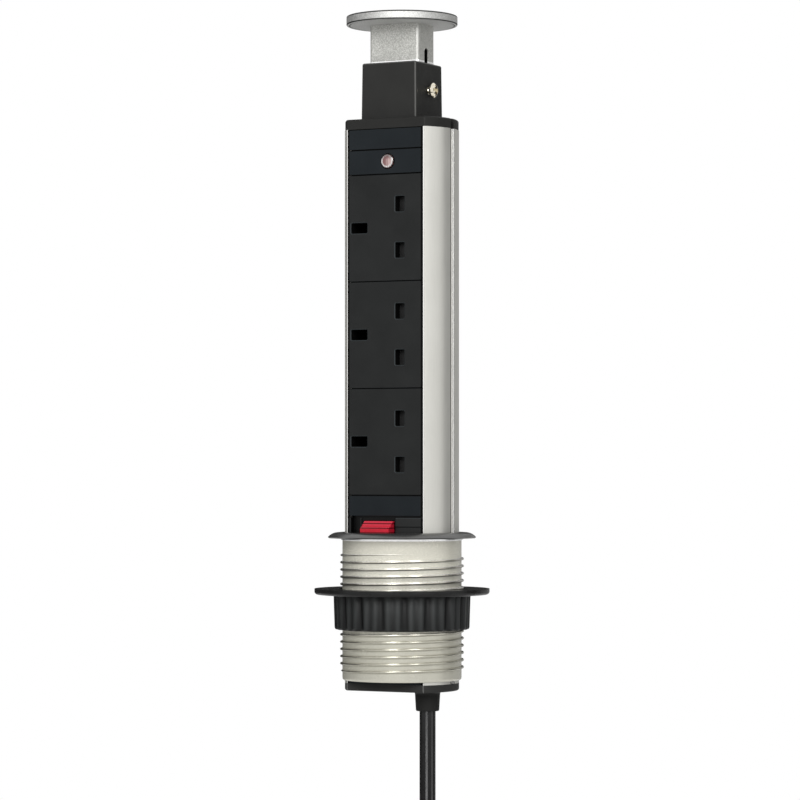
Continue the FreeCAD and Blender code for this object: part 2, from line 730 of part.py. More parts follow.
for side in (-1, 1):
    key_way = box(groove_floor, tower_radius + 1, -groove_width / 2, groove_width / 2, tower_top - 1,
                  cap_top + 1)
    key_way.rotate(Vector(0, 0, 0), Vector(0, 0, 1), 90 - 90 * side)
    cap_cuts.append(key_way)
    cap_cuts.append(rod(small_screw[0] + 0.05, tower_top - 1, cap_top + 1, 0, side * box_screw_y))
    cap_cuts.append(rod(small_screw[1] + 0.1, tower_top - 1, tower_top + small_screw[2], 0,
                        side * box_screw_y))
top_cap = joined([cap, cup]).cut(cap_cuts)
top_cap_screws = [screw(cap_screw, cap_screw_length, Vector(x, y, cap_top - head_thick - cap_screw_length),
                        Vector(0, 0, 1)) for x, y in ports()]
box_screw_length = cap_thickness + 3.0
for side in (-1, 1):
    top_cap_screws.append(screw(small_screw, box_screw_length,
                                Vector(0, side * box_screw_y, tower_top + small_screw[2] + box_screw_length),
                                Vector(0, 0, -1)))

# Guide box, drafted, with the lid's neck sliding in it
lower = Part.makePolygon([Vector(x * box_bottom[0] / 2, y * box_bottom[1] / 2, cap_top)
                          for x, y in ((-1, -1), (1, -1), (1, 1), (-1, 1), (-1, -1))])
upper = Part.makePolygon([Vector(x * box_top[0] / 2, y * box_top[1] / 2, box_top_z)
                          for x, y in ((-1, -1), (1, -1), (1, 1), (-1, 1), (-1, -1))])
shell = Part.makeLoft([lower, upper], True, True)
outer_edges = [edge for edge in shell.Edges if edge.BoundBox.ZMax > cap_top + 1]
shell = shell.makeFillet(box_round, outer_edges)
box_cuts = [neck_way, rod_x(screw_shank + 0.05, 0, box_bottom[0], 0, screw_z)]
for side in (-1, 1):
    box_cuts.append(rod(small_screw[0] + 0.02, cap_top - 1, tower_top + small_screw[2] + box_screw_length,
                        0, side * box_screw_y))
guide_box = shell.cut(box_cuts)

# Lid: disc, hollow neck with its slot, and their screws
neck = raised(rounded(neck_size[0], neck_size[1], neck_round), neck_bottom, lid_bottom)
neck = neck.cut(raised(rounded(neck_size[0] - 2 * neck_wall, neck_size[1] - 2 * neck_wall,
                               neck_round * 0.5), neck_bottom - 1, lid_bottom - neck_top_wall))
slot_low = screw_z + screw_shank + 0.1 - slot_width / 2
slot_high = slot_low + lid_travel + 0.2
slot_cut = joined([
    box(neck_size[0] / 2 - neck_wall - 1, neck_size[0] / 2 + 1, -slot_width / 2, slot_width / 2,
        slot_low, slot_high),
    rod_x(slot_width / 2, neck_size[0] / 2 - neck_wall - 1, neck_size[0] / 2 + 1, 0, slot_low),
    rod_x(slot_width / 2, neck_size[0] / 2 - neck_wall - 1, neck_size[0] / 2 + 1, 0, slot_high)])
spring_top = lid_bottom - neck_top_wall
latch_top_z = cup_floor + touch_latch_size[2]
striker = rod(striker_radius, latch_top_z + lid_travel, spring_top + 0.5, touch_latch_x, 0)
neck_cuts = [slot_cut]
lid_screws = []
for side in (-1, 1):
    x, y = side * lid_screw_place[0], side * lid_screw_place[1]
    neck_cuts.append(rod(small_screw[0] + 0.05, spring_top - 1, lid_bottom + 1, x, y))
    lid_screws.append(screw(small_screw, neck_top_wall + lid_screw_reach,
                            Vector(x, y, lid_bottom + lid_screw_reach), Vector(0, 0, -1)))
lid_neck = joined([neck, striker]).cut(neck_cuts)
lid = rod(lid_diameter / 2, lid_bottom, lid_bottom + lid_thickness)
lid = lid.makeFillet(lid_round, [edge for edge in lid.Edges if edge.Closed])
lid_cuts = [rod(small_screw[0] + 0.02, lid_bottom - 1, lid_bottom + lid_screw_reach,
                side * lid_screw_place[0], side * lid_screw_place[1]) for side in (-1, 1)]
rim_groove = rod(lid_diameter / 2 - lid_groove[0], lid_bottom - 1, lid_bottom + lid_groove[2])
lid_cuts.append(rim_groove.cut(rod(lid_diameter / 2 - lid_groove[0] - lid_groove[1], lid_bottom - 2,
                                   lid_bottom + lid_groove[2] + 1)))
lid_disc = lid.cut(lid_cuts)
face_x = box_bottom[0] / 2 - (box_bottom[0] - box_top[0]) / 2 * (screw_z - cap_top) / box_height
tip_x = neck_size[0] / 2 - screw_tip_in
guide_screw = screw((screw_shank,) + screw_head, face_x + screw_stands_off - tip_x,
                    Vector(tip_x, 0, screw_z), Vector(1, 0, 0))
coil = rod(lid_spring_radius, cup_floor, spring_top, lid_spring_x, 0)
lid_spring = coil.cut(rod(lid_spring_radius - lid_spring_wire, cup_floor - 1, spring_top + 1,
                          lid_spring_x, 0))
touch_latch = box(touch_latch_x - touch_latch_size[0] / 2, touch_latch_x + touch_latch_size[0] / 2,
                  -touch_latch_size[1] / 2, touch_latch_size[1] / 2, cup_floor, latch_top_z)

# Bottom cap, with the boss that the cord leaves through and the clamp that holds it
plate_face = disc(tower_radius).common(plate(-tower_radius, tower_radius, front, tower_radius))
base = raised(plate_face, cap_bottom, stack_bottom)
low_rim = [edge for edge in base.Edges if edge.BoundBox.ZMax < stack_bottom - 0.1]
corners = [edge for edge in base.Edges if edge.BoundBox.ZLength > bottom_cap_thickness * 0.9 and
           edge.BoundBox.YMax < 0]
base = base.makeFillet(bottom_cap_round, low_rim + corners)
boss_top = cap_bottom + 0.5
boss_low = cap_bottom - boss_length
flare_r = boss_radius + boss_flare
flare_in = boss_flare * (1 - math.sqrt(0.5))
boss = turned([
    (0, boss_top), (0, boss_low), (boss_tip_radius - 0.5, boss_low),
    (boss_tip_radius - 0.15, boss_low + 0.15, boss_tip_radius, boss_low + 0.5),
    (boss_radius, cap_bottom - boss_flare),
    (boss_radius + flare_in, cap_bottom - flare_in, flare_r, cap_bottom), (flare_r, boss_top)],
    cord_x, 0)
post_left = cord_x - clamp_post[0] / 2
cord_way = cord_radius + cord_fit
post = box(post_left, post_left + clamp_post[0], cord_way, cord_way + clamp_post[1],
           stack_bottom - 0.5, stack_bottom + clamp_post[2])
bar_top = stack_bottom + clamp_post[2] - clamp_bar_drop
screw_mid = bar_top - clamp_bar[2] / 2
cap_cuts = [rod(cord_way, boss_low - 1, cord_top, cord_x, 0)]
clamp_screws = []
bar = box(cord_x - clamp_bar[0] / 2, cord_x + clamp_bar[0] / 2, -cord_way - clamp_bar[1], -cord_way,
          bar_top - clamp_bar[2], bar_top)
bar_cuts = []
small_length = clamp_bar[1] + 2 * cord_way + 3.5
for side in (-1, 1):
    x = cord_x + side * clamp_screw_apart / 2
    tip = Vector(x, -cord_way - clamp_bar[1] + small_length, screw_mid)
    clamp_screws.append(screw(small_screw, small_length, tip, Vector(0, -1, 0)))
    cap_cuts.append(rod_y(small_screw[0] + 0.02, -cord_way, tip.y + 0.5, x, screw_mid))
    bar_cuts.append(rod_y(small_screw[0] + 0.05, -cord_way - clamp_bar[1] - 1, 0, x, screw_mid))
cable_clamp = bar.cut(bar_cuts)
for x, y in ports():
    cap_cuts.append(rod(shank + 0.05, cap_bottom - 1, stack_bottom + 1, x, y))
    cap_cuts.append(rod(head + 0.1, cap_bottom - 1, cap_bottom + head_thick, x, y))
bottom_cap = joined([base, boss, post]).cut(cap_cuts)
bottom_cap_screws = [screw(cap_screw, cap_screw_length,
                           Vector(x, y, cap_bottom + head_thick + cap_screw_length),
                           Vector(0, 0, -1)) for x, y in ports()]


# Cord and cores: straight runs joined by arcs
def swept(edges, radius, start, along):
    ring = Part.Wire(Part.makeCircle(radius, start, along))
    return Part.Wire(edges).makePipeShell([ring], True, False)


def routed(points, radius):
    """A tube through the points; each arc is as large as its two runs allow."""
    edges = []
    bends = []
    last = points[0]
    for index in range(1, len(points) - 1):
        back = (points[index - 1] - points[index])
        ahead = (points[index + 1] - points[index])
        turn = math.pi - back.getAngle(ahead)
        reach = 0.45 * min(back.Length, ahead.Length)
        bends.append(reach / math.tan(turn / 2))
        back.normalize()
        ahead.normalize()
        enter = points[index] + back * reach
        leave = points[index] + ahead * reach
        half = (back + ahead).normalize()
        centre = points[index] + half * (math.hypot(bends[-1], reach))
        through = centre - half * bends[-1]
        edges.append(Part.makeLine(last, enter))
        edges.append(Part.Arc(enter, through, leave).toShape())
        last = leave
    edges.append(Part.makeLine(last, points[-1]))
    length = sum(edge.Length for edge in edges)
    tube = swept(edges, radius, points[0], points[1] - points[0])
    return tube, length, bends


barrel_low = sockets_bottom - strip_overrun - barrel_length
cores = {}
for name, turn, target in (("brown_core", 60, line_strip_x), ("blue_core", 300, neutral_strip_x),
                           ("earth_core", 180, earth_column)):
    x0 = cord_x + core_circle * math.cos(math.radians(turn))
    y0 = core_circle * math.sin(math.radians(turn))
    cores[name], length, bends = routed([
        Vector(x0, y0, cord_top), Vector(x0, y0, cord_top + core_bend[0]),
        Vector(target, strip_middle, cord_top + core_bend[1]),
        Vector(target, strip_middle, barrel_low)], core_radius)
    ratio = cores[name].Volume / (math.pi * core_radius ** 2 * length)
    print(name, "length", round(length, 1), "arc radii", [round(bend, 1) for bend in bends],
          "volume ratio", round(ratio, 4))
cord = rod(cord_radius, hank_start, cord_top, cord_x, 0)


def s_bend(edges, start, end):
    """Two equal arcs that leave start straight down or up and reach end the same way."""
    side = Vector(end.x - start.x, end.y - start.y, 0)
    drop = end.z - start.z
    if side.Length < 1e-6:
        edges.append(Part.makeLine(start, end))
        return
    radius = (drop * drop + side.Length ** 2) / (4 * side.Length)
    angle = 2 * math.atan2(side.Length, abs(drop))
    way = up(math.copysign(1, drop))
    side.normalize()
    middle = (start + end) * 0.5
    first = start + side * radius * (1 - math.cos(angle / 2)) + way * radius * math.sin(angle / 2)
    second = end - side * radius * (1 - math.cos(angle / 2)) - way * radius * math.sin(angle / 2)
    edges.append(Part.Arc(start, first, middle).toShape())
    edges.append(Part.Arc(middle, second, end).toShape())


def hank_edges():
    """The route of the put-away cord: folds in a layer step outward, then in again a layer behind."""
    low = hank_top - hank_run
    waist = hank_top - hank_run / 2
    half_step = hank_step / 2
    radii = [hank_fold, hank_fold, hank_fold + half_step, hank_fold + 2 * half_step,
             hank_fold + 3 * half_step, hank_fold + 3 * half_step, hank_fold + 2 * half_step,
             hank_fold + half_step]
    layers = [0, 1, 1, 1, 1, 2, 2, 2]
    edges = []

    def at(x, layer, z):
        return Vector(cord_x + x, layer * hank_layer, z)

    edges.append(Part.makeLine(at(0, 0, hank_start), at(0, 0, waist)))
    place = at(hank_fold, 0, low)
    s_bend(edges, at(0, 0, waist), place)
    x = hank_fold
    for index, radius in enumerate(radii):
        is_low = index % 2 == 0
        level = low if is_low else hank_top
        layer = layers[index]
        way = -1 if is_low else 1
        across = -2 * radius if x > 0 else 2 * radius
        start = at(x, layer, level)
        end = at(x + across, layer, level)
        top = at(x + across / 2, layer, level + way * radius)
        edges.append(Part.Arc(start, top, end).toShape())
        x += across
        if index + 1 < len(radii):
            following = layers[index + 1]
            inward = x - math.copysign(hank_draw, x)
            middle_layer = (layer + following) / 2
            s_bend(edges, end, at(inward, middle_layer, waist))
            s_bend(edges, at(inward, middle_layer, waist),
                   at(x, following, hank_top if is_low else low))
        else:
            inward = x - math.copysign(hank_draw, x)
            s_bend(edges, end, at(inward, layer + 1, waist))
            s_bend(edges, at(inward, layer + 1, waist), at(0, layer + 1, low))
            edges.append(Part.makeLine(at(0, layer + 1, low), at(0, layer + 1, hank_end)))
    return edges


route = hank_edges()
cord_hank = swept(route, cord_radius, Vector(cord_x, 0, hank_start), Vector(0, 0, -1))
hank_length = sum(edge.Length for edge in route)


def least_gap(edges, step):
    """Smallest distance between the tube and itself, from points along its middle line."""
    points = []
    run = 0.0
    for edge in edges:
        count = max(2, int(edge.Length / step))
        points += [(run + edge.Length * i / count, edge.valueAt(
            edge.FirstParameter + (edge.LastParameter - edge.FirstParameter) * i / count))
            for i in range(count)]
        run += edge.Length
    cells = {}
    size = cord_diameter * 1.5
    for place, point in points:
        key = (int(point.x // size), int(point.y // size), int(point.z // size))
        cells.setdefault(key, []).append((place, point))
    least = 1e9
    for (i, j, k), members in cells.items():
        near = []
        for a in (-1, 0, 1):
            for b in (-1, 0, 1):
                for c in (-1, 0, 1):
                    near += cells.get((i + a, j + b, k + c), [])
        for place, point in members:
            for other, second in near:
                if abs(place - other) > 4 * cord_diameter:
                    least = min(least, point.distanceToPoint(second))
    return least - cord_diameter


tail_layer = 3 * hank_layer
relief_top = hank_end - tail_length
plug_top = relief_top - relief_length
plug_bottom = plug_top - plug_length
cord_tail = rod(cord_radius, relief_top, hank_end, cord_x, tail_layer)
total = (cord_top - hank_start) + hank_length + tail_length
print("cord length", round(total, 1), "hank", round(hank_length, 1),
      "volume ratio", round(cord_hank.Volume / (math.pi * cord_radius ** 2 * hank_length), 4),
      "least gap to itself", round(least_gap(route, 1.5), 2))

# Strap round the waist of the hank
waist_z = hank_top - hank_run / 2
outer = hank_fold + 2 * hank_step - hank_draw
tie_left = cord_x - outer - cord_radius - tie_gap
tie_right = cord_x + outer - hank_step + cord_radius + tie_gap
tie_front = -cord_radius - tie_gap
tie_back = tail_layer + cord_radius + tie_gap
tie_middle = ((tie_left + tie_right) / 2, (tie_front + tie_back) / 2)
inner_tie = rounded(tie_right - tie_left, tie_back - tie_front, cord_radius, *tie_middle)
outer_tie = rounded(tie_right - tie_left + 2 * tie_thickness, tie_back - tie_front + 2 * tie_thickness,
                    cord_radius + tie_thickness, *tie_middle)
hank_tie = raised(outer_tie.cut(inner_tie), waist_z - tie_height / 2, waist_z + tie_height / 2)

# Plug
relief_points = [(0, relief_top), (0, plug_top), (relief_radii[1], plug_top)]
for index in range(relief_rings):
    share = (index + 0.7) / relief_rings
    radius = relief_radii[1] + (relief_radii[0] - relief_radii[1]) * share
    z = plug_top + relief_length * share * 0.95
    relief_points += [(radius, z - relief_ring[0] / 2), (radius - relief_ring[1], z - relief_ring[0] / 4),
                      (radius - relief_ring[1], z + relief_ring[0] / 4), (radius, z + relief_ring[0] / 2)]
relief_points.append((relief_radii[0], relief_top))
plug_relief = turned(relief_points, cord_x, tail_layer)

plug_middle = (plug_top + plug_bottom) / 2
outline = rounded(plug_width, plug_length, plug_corner)
plug = outline.extrude(up(plug_depth))
back_rim = [edge for edge in plug.Edges if edge.BoundBox.ZMin > plug_depth - 0.1]
plug = plug.makeFillet(plug_round, back_rim)
plug.rotate(Vector(0, 0, 0), Vector(1, 0, 0), -90)
plug_face = tail_layer - plug_depth / 2
plug.translate(Vector(cord_x, plug_face, plug_middle))
line_z = plug_top - pin_edge
pins = {}
plug_cuts = []
for name, x, z, (wide, tall, long) in (
        ("plug_line_pin", cord_x + pin_spacing / 2, line_z, plug_pin),
        ("plug_neutral_pin", cord_x - pin_spacing / 2, line_z, plug_pin),
        ("plug_earth_pin", cord_x, line_z - pin_spacing, plug_earth)):
    buried = plug_depth * 0.5
    blade = box(x - wide / 2, x + wide / 2, plug_face - long, plug_face + buried, z - tall / 2, z + tall / 2)
    tip = [edge for edge in blade.Edges if edge.BoundBox.YMax < plug_face - long + 0.1]
    pins[name] = blade.makeChamfer(0.6, tip)
    plug_cuts.append(blade)
carrier_z = line_z - pin_spacing / 2 + 0.5
half, tall = carrier_size[0] / 2, carrier_size[1] / 2
carrier = box(cord_x - half, cord_x + half, plug_face, plug_face + carrier_size[2], carrier_z - tall,
              carrier_z + tall)
fuse_y = plug_face + carrier_size[2] / 2
plug_fuse = rod_x(fuse_size[0], cord_x - fuse_size[1] / 2, cord_x + fuse_size[1] / 2, fuse_y, carrier_z)
plug_fuse_carrier = carrier.cut(plug_fuse)
plug_body = plug.cut(plug_cuts + [carrier])

nodes = {
    "table_ring": table_ring,
    "threaded_sleeve": threaded_sleeve,
    "clamp_plate": clamp_plate,
    "clamp_nut": clamp_nut,
    "tower_extrusion": tower_extrusion,
    "top_cap": top_cap,
    "top_cap_screws": group(top_cap_screws),
    "guide_box": guide_box,
    "guide_screw": guide_screw,
    "lid_disc": lid_disc,
    "lid_neck": lid_neck,
    "lid_screws": group(lid_screws),
    "lid_spring": lid_spring,
    "touch_latch": touch_latch,
    "upper_blank": upper_blank,
    "indicator_panel": indicator_panel,
    "indicator_lens": indicator_lens,
    "neon_lamp": neon_lamp,
    "indicator_board": indicator_board,
    "lower_blank": lower_blank,
    "latch_housing": latch_housing,
    "release_button": release_button,
    "latch_spring": latch_spring_body,
    "lower_filler": lower_filler,
    "line_busbar": line_busbar,
    "neutral_busbar": neutral_busbar,
    "earth_busbar": earth_busbar,
    "shutter_springs": shutter_springs,
    "bottom_cap": bottom_cap,
    "bottom_cap_screws": group(bottom_cap_screws),
    "cable_clamp": cable_clamp,
    "clamp_screws": group(clamp_screws),
    "cord": cord,
    "cord_hank": cord_hank,
    "cord_tail": cord_tail,
    "hank_tie": hank_tie,
    "plug_relief": plug_relief,
    "plug_body": plug_body,
    "plug_fuse_carrier": plug_fuse_carrier,
    "plug_fuse": plug_fuse,
}
nodes.update(cores)
nodes.update(pins)
for index in range(socket_count):
    nodes["socket_face_%d" % (index + 1)] = socket_faces[index]
    nodes["socket_back_%d" % (index + 1)] = socket_backs[index]
    nodes["shutter_%d" % (index + 1)] = shutters[index]

os.makedirs("parts", exist_ok=True)
for name in sorted(nodes):
    shape = nodes[name]
    if not shape.isValid():
        print("INVALID", name)
    shape.exportStep("parts/%s.step" % name)
print(len(nodes), "nodes,", sum(len(shape.Solids) for shape in nodes.values()), "solids")
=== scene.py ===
# Pop-up worktop socket tower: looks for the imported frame.
# Metres, in the frame's own axes: Z is the tower's axis, the sockets face -Y.
import bpy
import bmesh
import json
import math
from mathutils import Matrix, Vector


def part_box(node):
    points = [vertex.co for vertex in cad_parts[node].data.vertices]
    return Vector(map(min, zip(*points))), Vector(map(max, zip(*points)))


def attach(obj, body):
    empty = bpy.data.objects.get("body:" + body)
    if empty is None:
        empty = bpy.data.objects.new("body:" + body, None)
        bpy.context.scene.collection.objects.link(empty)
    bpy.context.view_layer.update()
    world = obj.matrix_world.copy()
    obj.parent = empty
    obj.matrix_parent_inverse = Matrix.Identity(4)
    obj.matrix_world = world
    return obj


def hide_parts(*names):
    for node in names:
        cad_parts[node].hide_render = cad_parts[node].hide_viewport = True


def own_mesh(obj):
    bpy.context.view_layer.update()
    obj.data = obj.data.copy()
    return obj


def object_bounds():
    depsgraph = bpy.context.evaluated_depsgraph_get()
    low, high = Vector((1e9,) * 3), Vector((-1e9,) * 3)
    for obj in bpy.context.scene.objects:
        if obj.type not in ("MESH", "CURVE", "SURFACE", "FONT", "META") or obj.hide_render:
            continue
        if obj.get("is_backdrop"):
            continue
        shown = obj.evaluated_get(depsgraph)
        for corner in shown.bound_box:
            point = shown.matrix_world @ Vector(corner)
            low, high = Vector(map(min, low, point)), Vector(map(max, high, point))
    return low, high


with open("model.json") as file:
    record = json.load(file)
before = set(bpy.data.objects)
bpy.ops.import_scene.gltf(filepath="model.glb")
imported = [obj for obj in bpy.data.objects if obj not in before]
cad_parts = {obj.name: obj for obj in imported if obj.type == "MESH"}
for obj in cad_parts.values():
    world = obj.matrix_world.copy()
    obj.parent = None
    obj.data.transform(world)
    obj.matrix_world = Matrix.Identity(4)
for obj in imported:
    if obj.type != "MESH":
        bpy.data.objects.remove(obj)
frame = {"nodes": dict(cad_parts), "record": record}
cadLow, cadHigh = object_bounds()
nodes = frame["nodes"]
scene = bpy.context.scene
mm = 0.001
scene.view_settings.view_transform = "Standard"

# Camera: level, a little above the worktop's face, looking from the front and right
camera = {
    "azimuth": 28.0,      # degrees round from the front towards +X
    "distance": 1.650,    # from the tower's axis
    "height": 0.03495,
    "lens": 152.96,
    "shift": (-0.0025, 0.0825),
}
cameraData = bpy.data.cameras.new("photoCamera")
cameraData.lens = camera["lens"]
cameraData.sensor_width = 36
cameraData.shift_x, cameraData.shift_y = camera["shift"]
cameraObject = bpy.data.objects.new("photoCamera", cameraData)
scene.collection.objects.link(cameraObject)
turn = math.radians(camera["azimuth"])
back = Vector((math.sin(turn), -math.cos(turn), 0))
cameraObject.location = back * camera["distance"] + Vector((0, 0, camera["height"]))
cameraObject.rotation_euler = (-back).to_track_quat("-Z", "Y").to_euler()
scene.camera = cameraObject
print("camera set")


# Small helpers
def srgb(code):
    def linear(value):
        return value / 12.92 if value <= 0.04045 else ((value + 0.055) / 1.055) ** 2.4
    parts = [int(code[i:i + 2], 16) / 255 for i in (1, 3, 5)]
    return tuple(linear(value) for value in parts) + (1.0,)


# One node. Inputs go by name or in the order it shows them, and a node stands for its first output.
def addNode(tree, kind, inputs=(), **settings):
    node = tree.nodes.new(kind)
    for key, value in settings.items():
        setattr(node, key, value)
    if isinstance(inputs, dict):
        pairs = [(node.inputs[key], value) for key, value in inputs.items()]
    else:
        pairs = list(zip([socket for socket in node.inputs if socket.enabled], inputs))
    for socket, value in pairs:
        if isinstance(value, bpy.types.Node):
            value = next(output for output in value.outputs if output.enabled)
        if isinstance(value, bpy.types.NodeSocket):
            tree.links.new(value, socket)
        else:
            socket.default_value = value
    return node


noiseRange = (0.3, 0.7)         # most of a noise's values lie between these


def newMaterial(name):
    material = bpy.data.materials.new(name)
    material.use_nodes = True
    material.node_tree.nodes.clear()
    return material, material.node_tree, addNode(material.node_tree, "ShaderNodeTexCoord").outputs["Object"]


def dress(tree, inputs):        # the shader with its inputs, on the material's output
    addNode(tree, "ShaderNodeOutputMaterial", [addNode(tree, "ShaderNodeBsdfPrincipled", inputs)])


def paint(tree, ground, layers):        # each layer's colour comes in as its value goes from start to end
    colour = srgb(ground)
    for value, start, end, shade in layers:
        mask = addNode(tree, "ShaderNodeMapRange", [value, start, end])
        shade = srgb(shade) if isinstance(shade, str) else shade
        colour = addNode(tree, "ShaderNodeMix", [mask, colour, shade], data_type="RGBA")
    return colour


edgeRange = (0.985, 0.82)       # flatness where the painted edge colour starts, and where it is full


# How flat a square-sided piece is: 1 on its sides, less on the bevels and rounds, where the edge colour is painted in
def flatness(tree):
    size = addNode(tree, "ShaderNodeVectorMath", [addNode(tree, "ShaderNodeTexCoord").outputs["Normal"]],
                   operation="ABSOLUTE")
    x, y, z = addNode(tree, "ShaderNodeSeparateXYZ", [size]).outputs
    most = addNode(tree, "ShaderNodeMath", [x, y], operation="MAXIMUM")
    return addNode(tree, "ShaderNodeMath", [most, z], operation="MAXIMUM")


# 1 on bands across an axis, given as (middle, half width) in mm, and 0 between them
def bandMask(tree, value, bands):
    core = 0.75         # the share of a band that is full, before it fades
    whole = 0.0
    for middle, reach in bands:
        away = addNode(tree, "ShaderNodeMath", [value, middle * mm], operation="SUBTRACT")
        away = addNode(tree, "ShaderNodeMath", [away], operation="ABSOLUTE")
        band = addNode(tree, "ShaderNodeMapRange", [away, reach * core * mm, reach * mm, 1.0, 0.0])
        whole = addNode(tree, "ShaderNodeMath", [whole, band], operation="MAXIMUM")
    return whole


def fromAxis(tree, place):
    flat = addNode(tree, "ShaderNodeVectorMath", [place, (1, 1, 0)], operation="MULTIPLY")
    return addNode(tree, "ShaderNodeVectorMath", [flat], operation="LENGTH")


# Moulded plastic: spark-eroded grain, which breaks up highlights, a faint cloudiness and a few rubbed patches.
# Sizes are in mm. A real grain of 0.05 mm is too fine to show, so it is drawn at 0.35 mm or more.
def mouldedPlastic(name, colour, paler, roughness, grain=0.35, depth=0.008, level=0.3, edge=None, face=None,
                   lines=(), lineColour="#050505", fluteShade=None, corner=None):
    material, tree, place = newMaterial(name)
    cloud, fine, rub = [addNode(tree, "ShaderNodeTexNoise", {
        "Vector": place, "Scale": 1 / (size * mm), "Detail": detail, "Roughness": rough})
        for size, detail, rough in ((14, 4, 0.5), (grain, 2, 0.5), (5, 5, 0.65))]
    x, y, z = addNode(tree, "ShaderNodeSeparateXYZ", [place]).outputs
    across = addNode(tree, "ShaderNodeMath", [x], operation="ABSOLUTE")
    layers = [(cloud, *noiseRange, paler)]
    # edges and rounds painted paler in the edge colour, as a painted highlight
    if edge:
        layers.append((flatness(tree), *edgeRange, edge))
    if fluteShade:      # painted shade in the flutes: their radius, the lobes' radius and the shade's colour
        layers.append((fromAxis(tree, place), fluteShade[1] * mm, fluteShade[0] * mm, fluteShade[2]))
    if corner:      # the corner where the flat front meets the round side, painted pale as a highlight
        frontFrom, frontFull = -15.0, -15.5
        ahead = addNode(tree, "ShaderNodeMapRange", [y, frontFrom * mm, frontFull * mm])
        cornerHighlight = addNode(tree, "ShaderNodeMath", [bandMask(tree, across, [corner[:2]]), ahead], operation="MULTIPLY")
        layers.append((cornerHighlight, 0.0, 1.0, corner[2]))
    if lines:       # painted shade in seams and grooves, and on the bottom cap's boss
        layers.append((bandMask(tree, z, lines), 0.0, 1.0, lineColour))
    if face:        # painted shade in the gaps between modules: behind the face, and along its sides
        layers.append((y, (face[0] + 0.12) * mm, (face[0] + 0.5) * mm, "#040404"))
        layers.append((across, (face[1] - 0.15) * mm, face[1] * mm, "#040404"))
    rough = addNode(tree, "ShaderNodeMath", [
        addNode(tree, "ShaderNodeMapRange", [rub, *noiseRange, roughness - 0.05, roughness + 0.05]),
        addNode(tree, "ShaderNodeMapRange", [fine, *noiseRange, -0.03, 0.03])], operation="ADD")
    dress(tree, {"Base Color": paint(tree, colour, layers), "Roughness": rough, "Specular IOR Level": level,
                 "Normal": addNode(tree, "ShaderNodeBump", {
                     "Height": fine, "Distance": depth * mm, "Strength": 0.6})})
    return material


# Metal, bare or under lacquer or oxide: a fine sparkle in a satin coat. Sizes are in mm, and flakes and drawing
# lines of 0.05 mm are drawn at 0.2 mm or more to show. A mark, a band of painted highlight or shade, is (axis, middle,
# half width, facing, colour).
def satinMetal(name, colour, darker, roughness, metallic=0.85, grain=0.3, depth=0.01, stretch=1.0, sparkle=0.5,
               under=None, over=None, marks=(), edge=None, inside=None, bare=None):
    material, tree, place = newMaterial(name)
    drawn = addNode(tree, "ShaderNodeMapping", {"Vector": place, "Scale": (1, 1, stretch)})
    cloud, fine = [addNode(tree, "ShaderNodeTexNoise", {
        "Vector": where, "Scale": 1 / (size * mm), "Detail": 3.0, "Roughness": rough})
        for where, size, rough in ((place, 18, 0.5), (drawn, grain, 0.6))]
    flakes = addNode(tree, "ShaderNodeMath", [
        addNode(tree, "ShaderNodeMapRange", [fine, *noiseRange, -0.5, 0.5]), sparkle,
        addNode(tree, "ShaderNodeMapRange", [cloud, *noiseRange, *noiseRange])], operation="MULTIPLY_ADD")
    turned = addNode(tree, "ShaderNodeSeparateXYZ", [addNode(tree, "ShaderNodeTexCoord").outputs["Normal"]]).outputs
    layers = [(flakes, 0.0, 1.0, colour)]
    if edge:        # rounded corners painted in the edge colour; on the neck darker, as painted shade that dims their highlight
        layers.append((flatness(tree), *edgeRange, edge))
    if under:       # painted shade on what faces down
        layers.append((turned[2], -0.35, -0.7, under))
    if over:        # painted highlight on what faces up
        layers.append((turned[2], 0.35, 0.7, over))
    parts = addNode(tree, "ShaderNodeSeparateXYZ", [place]).outputs
    size = [addNode(tree, "ShaderNodeMath", [part], operation="ABSOLUTE") for part in parts]
    places = size + [parts[0]]      # the last one tells left from right
    for axis, middle, reach, ahead, shade in marks:     # bands of painted highlight and painted shade
        facing = addNode(tree, "ShaderNodeMapRange", [turned[1], ahead, ahead - 0.05])
        mark = addNode(tree, "ShaderNodeMath", [bandMask(tree, places[axis], [(middle, reach)]), facing],
                       operation="MULTIPLY")
        layers.append((mark, 0.0, 1.0, shade))
    if inside:      # painted shade within the walls
        depths = [addNode(tree, "ShaderNodeMath", [size[axis], inside[axis] * mm], operation="SUBTRACT")
                  for axis in (0, 1)]
        deepest = addNode(tree, "ShaderNodeMath", depths, operation="MAXIMUM")
        layers.append((deepest, 0.0, -0.1 * mm, "#0c0c0c"))
    if bare:        # the coat is off beyond this radius
        metallic = addNode(tree, "ShaderNodeMapRange", [
            fromAxis(tree, place), bare * mm, (bare + 0.15) * mm, metallic, 0.95])
    dress(tree, {"Base Color": paint(tree, darker, layers), "Metallic": metallic,
                 "Roughness": addNode(tree, "ShaderNodeMapRange", [
                     fine, *noiseRange, roughness - 0.05, roughness + 0.05]),
                 "Normal": addNode(tree, "ShaderNodeBump", {
                     "Height": fine, "Distance": depth * mm, "Strength": 0.5})})
    return material


